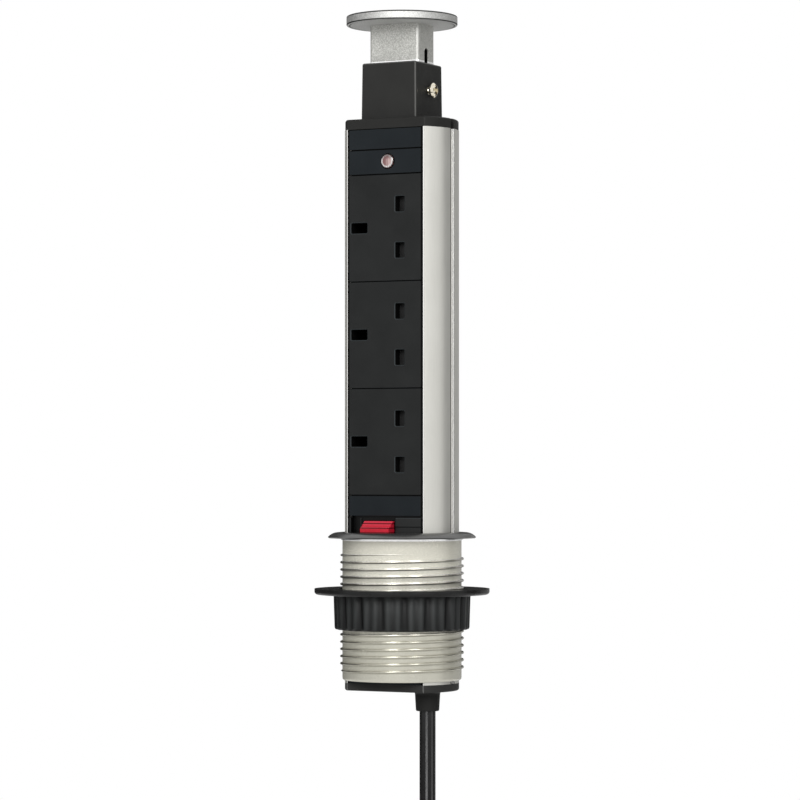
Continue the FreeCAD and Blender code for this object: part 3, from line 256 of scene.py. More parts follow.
moduleSeams = [(197.35, 0.4), (187.3, 0.42), (175.3, 0.42), (123.8, 0.36), (72.3, 0.36), (20.8, 0.42),
               (10.5, 0.6), (-13.2, 0.4)]      # middles and half widths up the tower of the seams' painted shade
# middles and half widths of the button's grooves, which get painted shade
buttonGrooves = [(7.25, 0.34), (5.1, 0.34), (2.9, 0.34)]
moduleFace = (-17.5, 19.5)      # how far forward the modules' face stands, and its half width
finishes = {        # by the slots that the record names, and four of their own for single pieces
    # Nylons: dull from a textured mould, with a soft wide sheen, and painted highlights on the guide box's edges and
    # the bottom cap's corner. The plate's mould was polished, so it mirrors a little, and the nut's flutes get painted
    # shade.
    "cap_black": mouldedPlastic("cap_glass_filled_nylon", "#20201f", "#262625", 0.5, level=0.1),
    "baseCap": mouldedPlastic("bottom_cap_nylon", "#282827", "#2e2e2d", 0.5, level=0.12,
                              corner=(20.75, 0.3, "#5c5c5b"), lines=[(-80.5, 6)],
                              lineColour="#1b1b1a"),      # painted shade on the boss, below the plate
    "box": mouldedPlastic("guide_box_nylon", "#20201f", "#252524", 0.5, level=0.14, edge="#545452"),
    "black_plate": mouldedPlastic("clamp_plate_glossy_nylon", "#161616", "#1a1a1a", 0.3, level=0.2),
    "black_nut": mouldedPlastic("clamp_nut_nylon", "#2e3030", "#373939", 0.42, grain=0.6, depth=0.03, level=0.25,
                                fluteShade=(32.3, 33.3, "#060707")),
    # ABS and polycarbonate fronts: even and nearly matt, with painted shade in the seams and the gaps between modules,
    # and painted highlights on thin edges
    "panel_black": mouldedPlastic("panel_smooth_abs", "#161a1d", "#1a1e21", 0.4, level=0.1, edge="#30363b",
                                  face=moduleFace, lines=moduleSeams),
    "socket_black": mouldedPlastic("socket_grained_polycarbonate", "#1c1d1d", "#212222", 0.55, level=0.1,
                                   edge="#34383a", face=moduleFace, lines=moduleSeams),
    "housing": mouldedPlastic("latch_housing_abs", "#1f2020", "#252626", 0.35, level=0.15, edge="#3a3d3f",
                              face=moduleFace, lines=moduleSeams),
    # the button: painted shade in its grooves and painted highlights on its edges
    "button_red": mouldedPlastic("button_red_abs", "#b8182b", "#c42136", 0.3, level=0.3, lines=buttonGrooves,
                                 lineColour="#6a0614", edge="#d23a4c"),
    # Acetal: slippery and smooth, so it glances softly
    "shutter_black": mouldedPlastic("shutter_acetal", "#0d0d0d", "#121212", 0.45),
    "grey_plastic": mouldedPlastic("grey_acetal", "#5c5c5a", "#6a6a68", 0.5),
    # Soft PVC: the extruded cord mirrors like wet rubber, the moulded plug and the cores are duller
    "cord_black": mouldedPlastic("cord_black_pvc", "#1a1a1a", "#1e1e1e", 0.16, grain=0.5, depth=0.002, level=0.28),
    "plug_black": mouldedPlastic("plug_moulded_pvc", "#1c1c1c", "#232323", 0.45),
    "core_brown": mouldedPlastic("core_brown_pvc", "#6b3b1f", "#774425", 0.45),
    "core_blue": mouldedPlastic("core_blue_pvc", "#1f5fa8", "#2a6ab2", 0.45),
    "core_green_yellow": mouldedPlastic("core_green_yellow_pvc", "#6f9a2c", "#a7b52c", 0.45),
    # Pressed urea and resin laminate look hard and even, glazed ceramic is glossy
    "carrier_red": mouldedPlastic("fuse_carrier_red_urea", "#8d1c18", "#99231d", 0.4),
    "board_green": mouldedPlastic("board_green_laminate", "#2b6b3f", "#34784a", 0.4),
    "fuse_ceramic": mouldedPlastic("fuse_glazed_ceramic", "#e4dfd2", "#ece8dc", 0.2, level=0.5),
    # Extruded and anodised: long fine lines, soft grey reflections, and bands of painted highlight and painted shade
    # along its lips and in the gaps beside the modules
    "anodised_aluminium": satinMetal("anodised_aluminium", "#cdccc6", "#c2c1bb", 0.34, 0.65, 0.22, 0.004, 0.02, marks=[
        (0, 20.7, 0.4, -0.95, "#f4f3f0"), (3, -20.98, 0.26, -0.3, "#3c3b38"), (3, 20.5, 0.22, -0.5, "#141414"),
        (0, 20.38, 0.08, 0.3, "#080808"), (1, 1.95, 0.36, 2.0, "#6c6b66"), (1, 1.55, 0.3, -0.8, "#ffffff")]),
    # Lacquers over cast or pressed metal: clean and pale on the sleeve, with painted shade on what faces down and on
    # its lower part, painted highlights on what faces up and in a band under the ring, and bare crests
    "sleeve_metal": satinMetal("sleeve_champagne_lacquer", "#d6d4c8", "#cac7ba", 0.26, 0.3, under="#1c1b19",
                               over="#ffffff", bare=29.1, marks=[(2, 0.3, 0.95, 2.0, "#ffffff"),
                                                                 (2, 58.0, 14.0, 2.0, "#bdbbaf")]),
    # and full of glittering flakes on the lid and its neck, with dark lines of painted shade along the lid's rim edges
    "lid_silver": satinMetal("lid_silver_lacquer", "#c6c6c4", "#9e9e9c", 0.58, 0.85, 0.5, 0.02, sparkle=1.3,
                             marks=[(2, 252.55, 0.35, 2.0, "#3a3a39"), (2, 248.95, 0.35, 2.0, "#3a3a39")]),
    # the neck: painted shade on its rounded corners and within its walls, and a band of painted highlight just above
    # the box
    "neck_metal": satinMetal("neck_silver_lacquer", "#cfcfcb", "#94948f", 0.4, 0.45, 0.42, 0.02, sparkle=1.6,
                             edge="#9b9b97", inside=(12.9, 7.9), marks=[(2, 230.3, 0.5, 2.0, "#ffffff")]),
    # Plated and bare metals: darker satin on the ring, mirror-like and warm on the guide screw
    "satin_zinc": satinMetal("ring_satin_zinc", "#6c6c6b", "#616160", 0.3, 0.85, 0.25, 0.006),
    "zinc": satinMetal("yellow_passivated_zinc", "#f4efe2", "#cfc4a8", 0.12, 1.0, 0.6, 0.002),
    "steel": satinMetal("bright_zinc_steel", "#c4c2bb", "#b6b4ad", 0.24, 1.0, 0.5, 0.003),
    "spring_steel": satinMetal("spring_steel", "#9c9c9a", "#8e8e8c", 0.3, 1.0, 0.5, 0.003),
    "brass": satinMetal("pressed_brass", "#d2b269", "#c7a55c", 0.28, 1.0, 0.8, 0.004),
}

# Lens: clear polycarbonate moulded with facets, so the lamp behind it breaks into pale and dark streaks, which are
# painted into its colour along the facets
lensPlan = {        # in mm from the lens's middle: where each colour starts and where it is full
    "electrodeAcross": (-1.3, 1.5), "electrodeUp": (0.6, 2.2), "rimHighlightUp": (0.4, 2.6), "rim": (2.1, 2.6),
    "rimShade": (2.95, 3.1), "facet": 0.8727, "facetDepth": 0.08, "scratch": 1.2,
}
finishes["lens_clear"], tree, place = newMaterial("lens_clear_polycarbonate")
lensLow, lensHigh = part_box("indicator_lens")
middle = (Vector(lensLow) + Vector(lensHigh)) / 2
centred = addNode(tree, "ShaderNodeMapping", {      # in mm
    "Vector": place, "Location": (-middle.x / mm, 0, -middle.z / mm), "Scale": (1 / mm, 0, 1 / mm)})
out = addNode(tree, "ShaderNodeVectorMath", [centred], operation="LENGTH")
across, _, up = addNode(tree, "ShaderNodeSeparateXYZ", [centred]).outputs
facets = addNode(tree, "ShaderNodeTexWave", {       # at scale 1 its bands are pi / 10 apart
    "Vector": centred, "Scale": math.pi / 10 / lensPlan["facet"], "Distortion": 1.2, "Detail": 1.0},
    bands_direction="X").outputs["Fac"]
scratches = addNode(tree, "ShaderNodeTexNoise", {
    "Vector": place, "Scale": 1 / (lensPlan["scratch"] * mm), "Detail": 3.0})
streaks = addNode(tree, "ShaderNodeMapRange", [facets, 0.45, 0.8, 0.0, 0.6])
dress(tree, {
    "Base Color": paint(tree, "#7c4a48", [
        (across, *lensPlan["electrodeAcross"], "#e6c9c5"),      # the lamp's electrode stands off to one side
        (up, *lensPlan["electrodeUp"], "#6a3537"),
        # the rim painted pale as a highlight, brightest at the bottom and fading upwards
        (out, *lensPlan["rim"], paint(tree, "#f2f1ef", [(up, *lensPlan["rimHighlightUp"], "#77706e")])),
        # a dark ring of painted shade round its edge, then the painted streaks of the facets
        (out, *lensPlan["rimShade"], "#181818"), (streaks, 0.0, 1.0, "#6e3d3b")]),
    "Roughness": addNode(tree, "ShaderNodeMapRange", [scratches, *noiseRange, 0.12, 0.25]),
    "Transmission Weight": 0.35, "IOR": 1.49, "Coat Weight": 0.8, "Coat Roughness": 0.03,
    "Normal": addNode(tree, "ShaderNodeBump", {
        "Height": facets, "Distance": lensPlan["facetDepth"] * mm, "Strength": 0.6})})

# Lamp: blown glass, smooth and glossy, with the warm tint of neon in uneven patches
finishes["lamp_glass"], tree, place = newMaterial("neon_lamp_glass")
patches = addNode(tree, "ShaderNodeTexNoise", {"Vector": place, "Scale": 1 / (1.5 * mm), "Detail": 3.0})
dress(tree, {"Base Color": paint(tree, "#a8564c", [(patches, *noiseRange, "#c98a80")]), "Roughness": 0.15})

finishes["strap_black"] = finishes["cord_black"]
nodeFinish = {part["node"]: part["material_slot"] for part in frame["record"]["subparts"]}
nodeFinish.update({"guide_box": "box", "guide_screw": "zinc", "bottom_cap": "baseCap", "latch_housing": "housing"})
for name, obj in nodes.items():
    for slot in obj.material_slots:
        slot.material = finishes[nodeFinish[name]]
print("materials on", len(nodes), "nodes")


# Helpers for pieces made here
creaseAngle = 32        # degrees, and shading is smooth over anything less


def addPiece(name, mesh, body, finish, *replaced):
    piece = bpy.data.objects.new(name, mesh)
    scene.collection.objects.link(piece)
    mesh.materials.clear()
    mesh.materials.append(finish)
    mesh.shade_smooth()
    mesh.set_sharp_from_angle(angle=math.radians(creaseAngle))
    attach(piece, body)
    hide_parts(*replaced)
    return piece


def turnedMesh(profile, steps=160):     # (radius, height) points in mm, turned about Z
    work = bmesh.new()
    circle = [(math.cos(2 * math.pi * i / steps), math.sin(2 * math.pi * i / steps)) for i in range(steps)]
    rings = [[work.verts.new((radius * mm * x, radius * mm * y, height * mm)) for x, y in circle]
             for radius, height in profile]
    for ring, following in zip(rings, rings[1:] + rings[:1]):
        for i in range(steps):
            work.faces.new((ring[i], ring[(i + 1) % steps], following[(i + 1) % steps], following[i]))
    return work


def addBlock(work, low, high):
    corners = [(x, y, z) for z in (low[2], high[2]) for y in (low[1], high[1]) for x in (low[0], high[0])]
    verts = [work.verts.new(Vector(corner) * mm) for corner in corners]
    for face in ((0, 2, 3, 1), (4, 5, 7, 6), (0, 1, 5, 4), (1, 3, 7, 5), (3, 2, 6, 7), (2, 0, 4, 6)):
        work.faces.new([verts[i] for i in face])


def closedMesh(work, name):
    bmesh.ops.recalc_face_normals(work, faces=work.faces)
    mesh = bpy.data.meshes.new(name)
    work.to_mesh(mesh)
    work.free()
    return mesh


def startTree(name, **inputs):      # the inputs' names, listed by the kind of their socket
    tree = bpy.data.node_groups.new(name, "GeometryNodeTree")
    tree.interface.new_socket("Geometry", in_out="OUTPUT", socket_type="NodeSocketGeometry")
    tree.interface.new_socket("Geometry", in_out="INPUT", socket_type="NodeSocketGeometry")
    for kind, labels in inputs.items():
        for label in labels.split(", "):
            tree.interface.new_socket(label, in_out="INPUT", socket_type="NodeSocket" + kind.capitalize())
    return tree, addNode(tree, "NodeGroupInput").outputs


def endTree(tree, geometry, finish):
    real = addNode(tree, "GeometryNodeRealizeInstances", {"Geometry": geometry})
    painted = addNode(tree, "GeometryNodeSetMaterial", {"Geometry": real, "Material": finish})
    addNode(tree, "NodeGroupOutput", {"Geometry": painted})


def grown(name, tree, values, host=None):   # the tree's result as a plain mesh
    host = host or bpy.data.meshes.new(name + "Host")
    holder = bpy.data.objects.new(name + "Holder", host)
    scene.collection.objects.link(holder)
    modifier = holder.modifiers.new(name, "NODES")
    modifier.node_group = tree
    for item in tree.interface.items_tree:
        if item.in_out == "INPUT" and item.name in values:
            modifier[item.identifier] = values[item.name]
    graph = bpy.context.evaluated_depsgraph_get()
    mesh = bpy.data.meshes.new_from_object(holder.evaluated_get(graph), depsgraph=graph)
    bpy.data.objects.remove(holder)
    mesh.name = name
    return mesh


# Strap: woven webbing, wound a turn and a quarter round the put-away cord, its end lying on itself
strapPlan = {
    "low": -243.0, "high": -231.0, "sides": (-19.4, 38.4), "faces": (-4.4, 29.3), "corner": 3.9,
    "turns": 1.25, "steps": 220, "thickness": 0.6, "rise": 0.61, "clearance": 0.02,
    "edge": (0.4, 0.12, 0.1),       # the rounded edge's height, then the point halfway round it: in, and down
    "rib": 0.9, "yarn": 0.7,        # spacing of the ribs and the yarns, about the real ones
    "fuzz": 0.3, "relief": 0.12,    # real fuzz is finer than this and wouldn't show
}


def strapMaterial(plan):        # ribs across the band catch the light in fine rows, painted lighter where the weave stands higher as a painted highlight, under a soft fuzz
    material, tree, place = newMaterial("strap_woven_nylon")
    along = addNode(tree, "ShaderNodeSeparateXYZ", [addNode(tree, "ShaderNodeUVMap", uv_map="alongStrap")]).outputs
    waves = []
    for axis, size in ((0, plan["rib"]), (1, plan["yarn"])):
        phase = addNode(tree, "ShaderNodeMath", [along[axis], 2 * math.pi / (size * mm)], operation="MULTIPLY")
        waves.append(addNode(tree, "ShaderNodeMath", [phase], operation="SINE"))
    crossed = addNode(tree, "ShaderNodeMath", waves, operation="MULTIPLY")
    fuzz = addNode(tree, "ShaderNodeTexNoise", {"Vector": place, "Scale": 1 / (plan["fuzz"] * mm), "Detail": 3.0})
    height = addNode(tree, "ShaderNodeMath", [fuzz, 0.5, crossed], operation="MULTIPLY_ADD")
    dress(tree, {
        "Base Color": paint(tree, "#121212", [(height, -0.8, 1.2, "#2c2c2c")]),
        "Roughness": addNode(tree, "ShaderNodeMapRange", [fuzz, *noiseRange, 0.75, 0.9]), "Sheen Weight": 0.25,
        "Normal": addNode(tree, "ShaderNodeBump", {
            "Height": height, "Distance": plan["relief"] * mm, "Strength": 0.8})})
    return material


def strapOutline(plan):     # (point, way out) once round the hank from the middle of its back, and distances along
    left, right = plan["sides"]
    near, far = plan["faces"]
    corner = plan["corner"]
    turns = [((right - corner, far - corner), 90), ((right - corner, near + corner), 0),
             ((left + corner, near + corner), -90), ((left + corner, far - corner), -180)]
    path = [(Vector(((left + right) / 2, far)), Vector((0, 1)))]
    for (x, y), start in turns:
        for step in range(9):
            angle = math.radians(start - 90 * step / 8)
            out = Vector((math.cos(angle), math.sin(angle)))
            path.append((Vector((x, y)) + out * corner, out))
    path.append(path[0])
    lengths = [0.0]
    for one, two in zip(path, path[1:]):
        lengths.append(lengths[-1] + (two[0] - one[0]).length)
    return path, lengths


def strapPoint(path, lengths, distance):
    distance = distance % lengths[-1]
    index = max(i for i in range(len(path) - 1) if lengths[i] <= distance)
    share = (distance - lengths[index]) / max(lengths[index + 1] - lengths[index], 1e-9)
    point = path[index][0].lerp(path[index + 1][0], share)
    return point, path[index][1].lerp(path[index + 1][1], share).normalized()


def strapMesh(plan):
    path, lengths = strapOutline(plan)
    total = lengths[-1] * plan["turns"]
    work = bmesh.new()
    uv = work.loops.layers.uv.new("alongStrap")
    low, high, thick = plan["low"], plan["high"], plan["thickness"]
    edge, halfIn, halfDown = plan["edge"]
    section = [(0, low + edge), (0, high - edge), (halfIn, high - halfDown), (thick / 2, high),
               (thick - halfIn, high - halfDown), (thick, high - edge), (thick, low + edge),
               (thick - halfIn, low + halfDown), (thick / 2, low), (halfIn, low + halfDown)]
    rings = []
    for step in range(plan["steps"] + 1):
        distance = total * step / plan["steps"]
        point, out = strapPoint(path, lengths, distance)
        lift = plan["clearance"] + plan["rise"] * distance / lengths[-1]
        ring = [work.verts.new((*((point + out * (lift + reach)) * mm), z * mm)) for reach, z in section]
        rings.append((distance, ring))
    count = len(section)
    for (first, one), (second, two) in zip(rings, rings[1:]):
        for i in range(count):
            j = (i + 1) % count
            face = work.faces.new((one[i], one[j], two[j], two[i]))
            spots = [(first, i), (first, j), (second, j), (second, i)]
            for loop, (distance, spot) in zip(face.loops, spots):
                loop[uv].uv = (distance * mm, (section[spot][1] + section[spot][0]) * mm)
    for distance, ring in (rings[0], rings[-1]):
        face = work.faces.new(ring)
        for loop, (reach, z) in zip(face.loops, section):
            loop[uv].uv = ((distance + reach) * mm, z * mm)
    return closedMesh(work, "hankStrap")


hankStrap = addPiece("hankStrap", strapMesh(strapPlan), "tower", strapMaterial(strapPlan), "hank_tie")
print("strap wound,", len(hankStrap.data.polygons), "faces")


# Cord: one spline along the route, hanging straight, then folded into a hank and tied
cordPlan = {
    "x": 14.0, "diameter": 7.8, "length": 2.02, "exit": -83.4, "start": -60.0,
    "seen": -128.0,       # lower end of the straight stretch that the photograph shows
    "top": -178.0, "run": 118.0, "fold": 23.5, "step": 9.0, "layer": 8.3, "draw": 12.5,
    "end": -339.0, "tail": 13.0,
    "widths": (0, 0, 1, 2, 3, 3, 2, 1), "layers": (0, 1, 1, 1, 1, 2, 2, 2),      # of the hank's bends in turn
}


def hankPoints(plan):
    low = plan["top"] - plan["run"]
    waist = plan["top"] - plan["run"] / 2
    half = plan["step"] / 2
    radii = [plan["fold"] + half * width for width in plan["widths"]]
    layers = plan["layers"]

    def at(x, layer, z):
        return Vector((plan["x"] + x, layer * plan["layer"], z))

    def bend(start, end):       # two points that an S-bend's arcs are tangent to
        side = math.hypot(end.x - start.x, end.y - start.y)
        drop = end.z - start.z
        reach = Vector((0, 0, (drop * drop + side * side) / (4 * drop)))
        return [start + reach, end - reach]

    points = [at(0, 0, plan["start"]), at(0, 0, plan["exit"]), at(0, 0, plan["seen"])]
    points += bend(at(0, 0, waist), at(plan["fold"], 0, low))
    x = plan["fold"]
    for index, radius in enumerate(radii):
        isLow = index % 2 == 0
        level = low if isLow else plan["top"]
        way = -1 if isLow else 1
        side = -1 if x > 0 else 1
        centre = x + side * radius
        reach = radius / math.cos(math.radians(22.5))
        for degrees in (22.5, 67.5, 112.5, 157.5):      # corners of half an octagon round the bend
            angle = math.radians(degrees)
            points.append(at(centre - side * reach * math.cos(angle), layers[index],
                             level + way * reach * math.sin(angle)))
        x += 2 * side * radius
        last = index + 1 == len(radii)
        following = layers[index] + 1 if last else layers[index + 1]
        inward = x - math.copysign(plan["draw"], x)
        middle = following if last else (layers[index] + following) / 2
        points += bend(at(x, layers[index], level), at(inward, middle, waist))
        points += bend(at(inward, middle, waist),
                       at(0, following, low) if last else at(x, following, plan["top"] if isLow else low))
    points.append(at(0, layers[-1] + 1, plan["end"]))
    points.append(at(0, layers[-1] + 1, plan["end"] - plan["tail"]))
    return [point * mm for point in points]


cordCurve = bpy.data.curves.new("mainsCord", "CURVE")
cordCurve.dimensions = "3D"
cordCurve.bevel_depth = cordPlan["diameter"] / 2 * mm
cordCurve.bevel_resolution = 6
cordCurve.resolution_u = 10
cordCurve.use_fill_caps = True
route = hankPoints(cordPlan)
line = cordCurve.splines.new("NURBS")
line.points.add(len(route) - 1)
for point, spot in zip(line.points, route):
    point.co = (*spot, 1)
line.order_u = 3
line.use_endpoint_u = True
cordCurve.materials.append(finishes["cord_black"])
mainsCord = bpy.data.objects.new("mainsCord", cordCurve)
scene.collection.objects.link(mainsCord)
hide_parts("cord", "cord_hank", "cord_tail")
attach(mainsCord, "tower")
print("cord laid,", len(route), "points")


# Sleeve: a thin tube with a flange, two keys in its bore, and a rounded thread ridge
sleevePlan = {
    "bore": 28.0, "root": 28.9, "collar": 29.5, "flange": 30.6, "low": -68.6, "seat": 1.2,
    "keyReach": 26.25, "keyWidth": 2.6, "keyLow": -64.6, "keyHigh": -3.0,
    "pitch": 3.5, "turns": 16.5, "threadLow": -64.94, "startAngle": 137.0, "steps": 128,
    "ridgeHeight": 1.1, "rootWidth": 1.7, "crestWidth": 0.7, "ridgeRound": 0.28, "runOut": 0.35,
    "sink": 0.12, "keySink": 0.4,      # how far the ridge and the keys stand in the tube
    "foot": ((-0.5, 0), (-0.12, 0.45), (0, 1.2)),      # the chamfer's points, out from the root and up
    "neck": ((0, -1.0), (0.1, -0.78)), "collarLow": -0.7,
}
tree, given = startTree(
    "threadRidge", float="Root Radius, Height, Turns, Ridge Height, Root Width, Crest Width, Rounding, Run Out",
    vector="Foot, Start, Start Turn", int="Steps", material="Finish")
spiral = addNode(tree, "GeometryNodeCurveSpiral", {
    "Resolution": given["Steps"], "Rotations": given["Turns"], "Start Radius": given["Root Radius"],
    "End Radius": given["Root Radius"], "Height": given["Height"], "Reverse": True})
upright = addNode(tree, "GeometryNodeSetCurveNormal", {"Curve": spiral}, mode="Z_UP")
section = addNode(tree, "GeometryNodeCurvePrimitiveQuadrilateral", {
    "Height": given["Ridge Height"], "Bottom Width": given["Root Width"], "Top Width": given["Crest Width"],
    "Offset": 0.0}, mode="TRAPEZOID")
section = addNode(tree, "GeometryNodeFilletCurve", {
    "Curve": section, "Count": 3, "Radius": given["Rounding"]}, mode="POLY")
section = addNode(tree, "GeometryNodeTransform", {
    "Geometry": section, "Translation": given["Foot"], "Rotation": (0, 0, math.radians(-90))})
done = addNode(tree, "ShaderNodeMath", [addNode(tree, "GeometryNodeSplineParameter"), given["Turns"]],
               operation="MULTIPLY")
left = addNode(tree, "ShaderNodeMath", [given["Turns"], done], operation="SUBTRACT")
nearEnd = addNode(tree, "ShaderNodeMath", [done, left], operation="MINIMUM")
taper = addNode(tree, "ShaderNodeMapRange", [nearEnd, 0.0, given["Run Out"], 0.05])
ridge = addNode(tree, "GeometryNodeCurveToMesh", {
    "Curve": upright, "Profile Curve": section, "Scale": taper, "Fill Caps": True})
ridge = addNode(tree, "GeometryNodeTransform", {
    "Geometry": ridge, "Translation": given["Start"], "Rotation": given["Start Turn"]})
endTree(tree, ridge, given["Finish"])
plan = sleevePlan
ridgeHeight = (plan["ridgeHeight"] + plan["sink"]) * mm
ridgeMesh = grown("threadRidge", tree, {
    "Root Radius": (plan["root"] - plan["sink"]) * mm, "Height": plan["pitch"] * plan["turns"] * mm,
    "Turns": plan["turns"], "Ridge Height": ridgeHeight, "Root Width": plan["rootWidth"] * mm,
    "Crest Width": plan["crestWidth"] * mm, "Rounding": plan["ridgeRound"] * mm, "Run Out": plan["runOut"],
    "Foot": (ridgeHeight / 2, 0, 0), "Start": (0, 0, plan["threadLow"] * mm),
    "Start Turn": (0, 0, math.radians(plan["startAngle"])), "Steps": plan["steps"],
    "Finish": finishes["sleeve_metal"]})
sleeveWork = turnedMesh([
    (plan["bore"], plan["low"]), *((plan["root"] + out, plan["low"] + up) for out, up in plan["foot"]),
    *((plan["root"] + out, z) for out, z in plan["neck"]), (plan["collar"], plan["collarLow"]), (plan["collar"], 0),
    (plan["flange"], 0), (plan["flange"], plan["seat"]), (plan["bore"], plan["seat"])])
for side in (-1, 1):
    ends = sorted((side * plan["keyReach"], side * (plan["bore"] + plan["keySink"])))
    addBlock(sleeveWork, (ends[0], -plan["keyWidth"] / 2, plan["keyLow"]),
             (ends[1], plan["keyWidth"] / 2, plan["keyHigh"]))
sleeveWork.from_mesh(ridgeMesh)
threadedSleeve = addPiece("threadedSleeve", closedMesh(sleeveWork, "threadedSleeve"), "sleeve",
                          finishes["sleeve_metal"], "threaded_sleeve")
print("sleeve threaded,", len(threadedSleeve.data.polygons), "faces")


# Clamp nut: a turned blank whose outside a tree presses into smooth lobes
nutPlan = {
    "top": -27.4, "height": 16.8, "radius": 33.6, "taper": 0.5, "bore": 30.3, "boreChamfer": 0.5,
    "lowRound": ((-0.95, 0), (-0.32, 0.2), (-0.05, 0.8), (0, 1.1)),     # points out from the side, and up or down
    "topRound": ((-0.02, -0.6), (-0.15, -0.15), (-0.5, 0)),
    "lobes": 18, "depth": 0.7, "dip": 0.8, "firstLobe": 10.0, "steps": 432,
    "still": 0.4, "full": 1.2,      # the bore stays round this far out, and the lobes are full this far in
}
tree, given = startTree("nutLobes", float="Lobes, Half Depth, Dip, First Lobe, Still Radius, Full Radius",
                        material="Finish")
spot = addNode(tree, "GeometryNodeInputPosition")
x, y, _ = addNode(tree, "ShaderNodeSeparateXYZ", [spot]).outputs
swell = addNode(tree, "ShaderNodeMath", [y, x], operation="ARCTAN2")
for operation, *other in (("SUBTRACT", given["First Lobe"]), ("MULTIPLY", given["Lobes"]), ("COSINE",)):
    swell = addNode(tree, "ShaderNodeMath", [swell, *other], operation=operation)
hollow = addNode(tree, "ShaderNodeMath", [swell, swell], operation="MULTIPLY")     # a hollow in each lobe too
hollow = addNode(tree, "ShaderNodeMath", [hollow, given["Dip"]], operation="MULTIPLY")
inset = addNode(tree, "ShaderNodeMath", [swell, 1.0], operation="SUBTRACT")
share = addNode(tree, "ShaderNodeMapRange", [fromAxis(tree, spot), given["Still Radius"], given["Full Radius"]])
for operation, other in (("MULTIPLY", given["Half Depth"]), ("SUBTRACT", hollow), ("MULTIPLY", share)):
    inset = addNode(tree, "ShaderNodeMath", [inset, other], operation=operation)
outward = addNode(tree, "ShaderNodeVectorMath", [spot, (1, 1, 0)], operation="MULTIPLY")
outward = addNode(tree, "ShaderNodeVectorMath", [outward], operation="NORMALIZE")
press = addNode(tree, "ShaderNodeVectorMath", [outward, inset], operation="SCALE")
lobed = addNode(tree, "GeometryNodeSetPosition", {"Geometry": given["Geometry"], "Offset": press})
endTree(tree, lobed, given["Finish"])
plan = nutPlan
foot = plan["top"] - plan["height"]
low = plan["radius"] - plan["taper"]
nutBlank = turnedMesh([
    (plan["bore"], plan["top"]), (plan["bore"], foot + plan["boreChamfer"]),
    (plan["bore"] + plan["boreChamfer"], foot), *((low + out, foot + up) for out, up in plan["lowRound"]),
    *((plan["radius"] + out, plan["top"] + up) for out, up in plan["topRound"])], plan["steps"])
lobedMesh = grown("lobedNut", tree, {
    "Lobes": plan["lobes"], "Half Depth": plan["depth"] / 2 * mm, "Dip": plan["dip"] * mm,
    "First Lobe": math.radians(plan["firstLobe"]), "Still Radius": (plan["bore"] + plan["still"]) * mm,
    "Full Radius": (low - plan["full"]) * mm, "Finish": finishes["black_nut"]}, closedMesh(nutBlank, "nutBlank"))
lobedNut = addPiece("lobedNut", lobedMesh, "nut", finishes["black_nut"], "clamp_nut")
print("nut lobed,", len(lobedMesh.polygons), "faces")


# Screws: a domed head with a cross recess on a threaded shank, one tree for all of them
screwPlans = [     # where the heads seat and the way they face, then sizes in mm
    {"name": "guideScrew", "node": "guide_screw", "seats": [(16.75, 0, 216.4)], "way": (1, 0, 0),
     "head": (3.6, 2.3, 1.6), "shank": (1.9, 4.8), "pitch": 0.8, "recess": (1.4, 5.2, 1.9), "finish": "zinc"},
    {"name": "topCapScrews", "node": "top_cap_screws", "seats": [(-18.81, 13.41, 200.5), (18.81, 13.41, 200.5)],
     "way": (0, 0, 1), "head": (3.4, 2.0, 0.8), "shank": (2.0, 12.0), "pitch": 1.3, "recess": (0.9, 4.0, 1.3),
     "finish": "steel"},
    {"name": "boxScrews", "node": "top_cap_screws", "seats": [(0, -12, 199.0), (0, 12, 199.0)],
     "way": (0, 0, -1), "head": (2.2, 1.5, 0.5), "shank": (1.25, 8.0), "pitch": 0.9, "recess": (0.6, 2.6, 0.9),
     "finish": "steel"},
    {"name": "bottomCapScrews", "node": "bottom_cap_screws",
     "seats": [(-18.81, 13.41, -71.7), (18.81, 13.41, -71.7)], "way": (0, 0, -1), "head": (3.4, 2.0, 0.8),
     "shank": (2.0, 12.0), "pitch": 1.3, "recess": (0.9, 4.0, 1.3), "finish": "steel"},
]
domePower = 2.6         # how the head falls towards its rim: 2 is round, more is flatter on top
threadShare = {"core": 0.84, "ridge": 0.86, "crest": 0.13, "along": 0.8, "tip": -0.95}     # of the shank's sizes
tree, given = startTree(
    "crossScrew", float="Head Radius, Head Height, Fall, Core Radius, Shank Length, Ridge Radius, Ridge Length, "
    "Ridge Turns, Crest Radius", vector="Head Middle, Head Top, Core Middle, Ridge Start, Long Arm, Cross Arm, "
    "Direction", material="Finish")
head = addNode(tree, "GeometryNodeMeshCylinder", {
    "Vertices": 48, "Side Segments": 2, "Fill Segments": 6, "Radius": given["Head Radius"],
    "Depth": given["Head Height"]}, fill_type="TRIANGLE_FAN")
head = addNode(tree, "GeometryNodeTransform", {"Geometry": head, "Translation": given["Head Middle"]})
spot = addNode(tree, "GeometryNodeInputPosition")
height = addNode(tree, "ShaderNodeSeparateXYZ", [spot]).outputs[2]
rise = addNode(tree, "ShaderNodeMath", [height, given["Head Height"]], operation="DIVIDE")
fall = fromAxis(tree, spot)
for operation, other in (("DIVIDE", given["Head Radius"]), ("POWER", domePower), ("MULTIPLY", given["Fall"]),
                         ("MULTIPLY", rise)):
    fall = addNode(tree, "ShaderNodeMath", [fall, other], operation=operation)
domed = addNode(tree, "GeometryNodeSetPosition", {
    "Geometry": head, "Offset": addNode(tree, "ShaderNodeCombineXYZ", {"Z": fall})})
cross = addNode(tree, "GeometryNodeJoinGeometry")
for size in ("Long Arm", "Cross Arm"):
    tree.links.new(addNode(tree, "GeometryNodeMeshCube", {"Size": given[size]}).outputs[0], cross.inputs[0])
cross = addNode(tree, "GeometryNodeTransform", {"Geometry": cross, "Translation": given["Head Top"]})
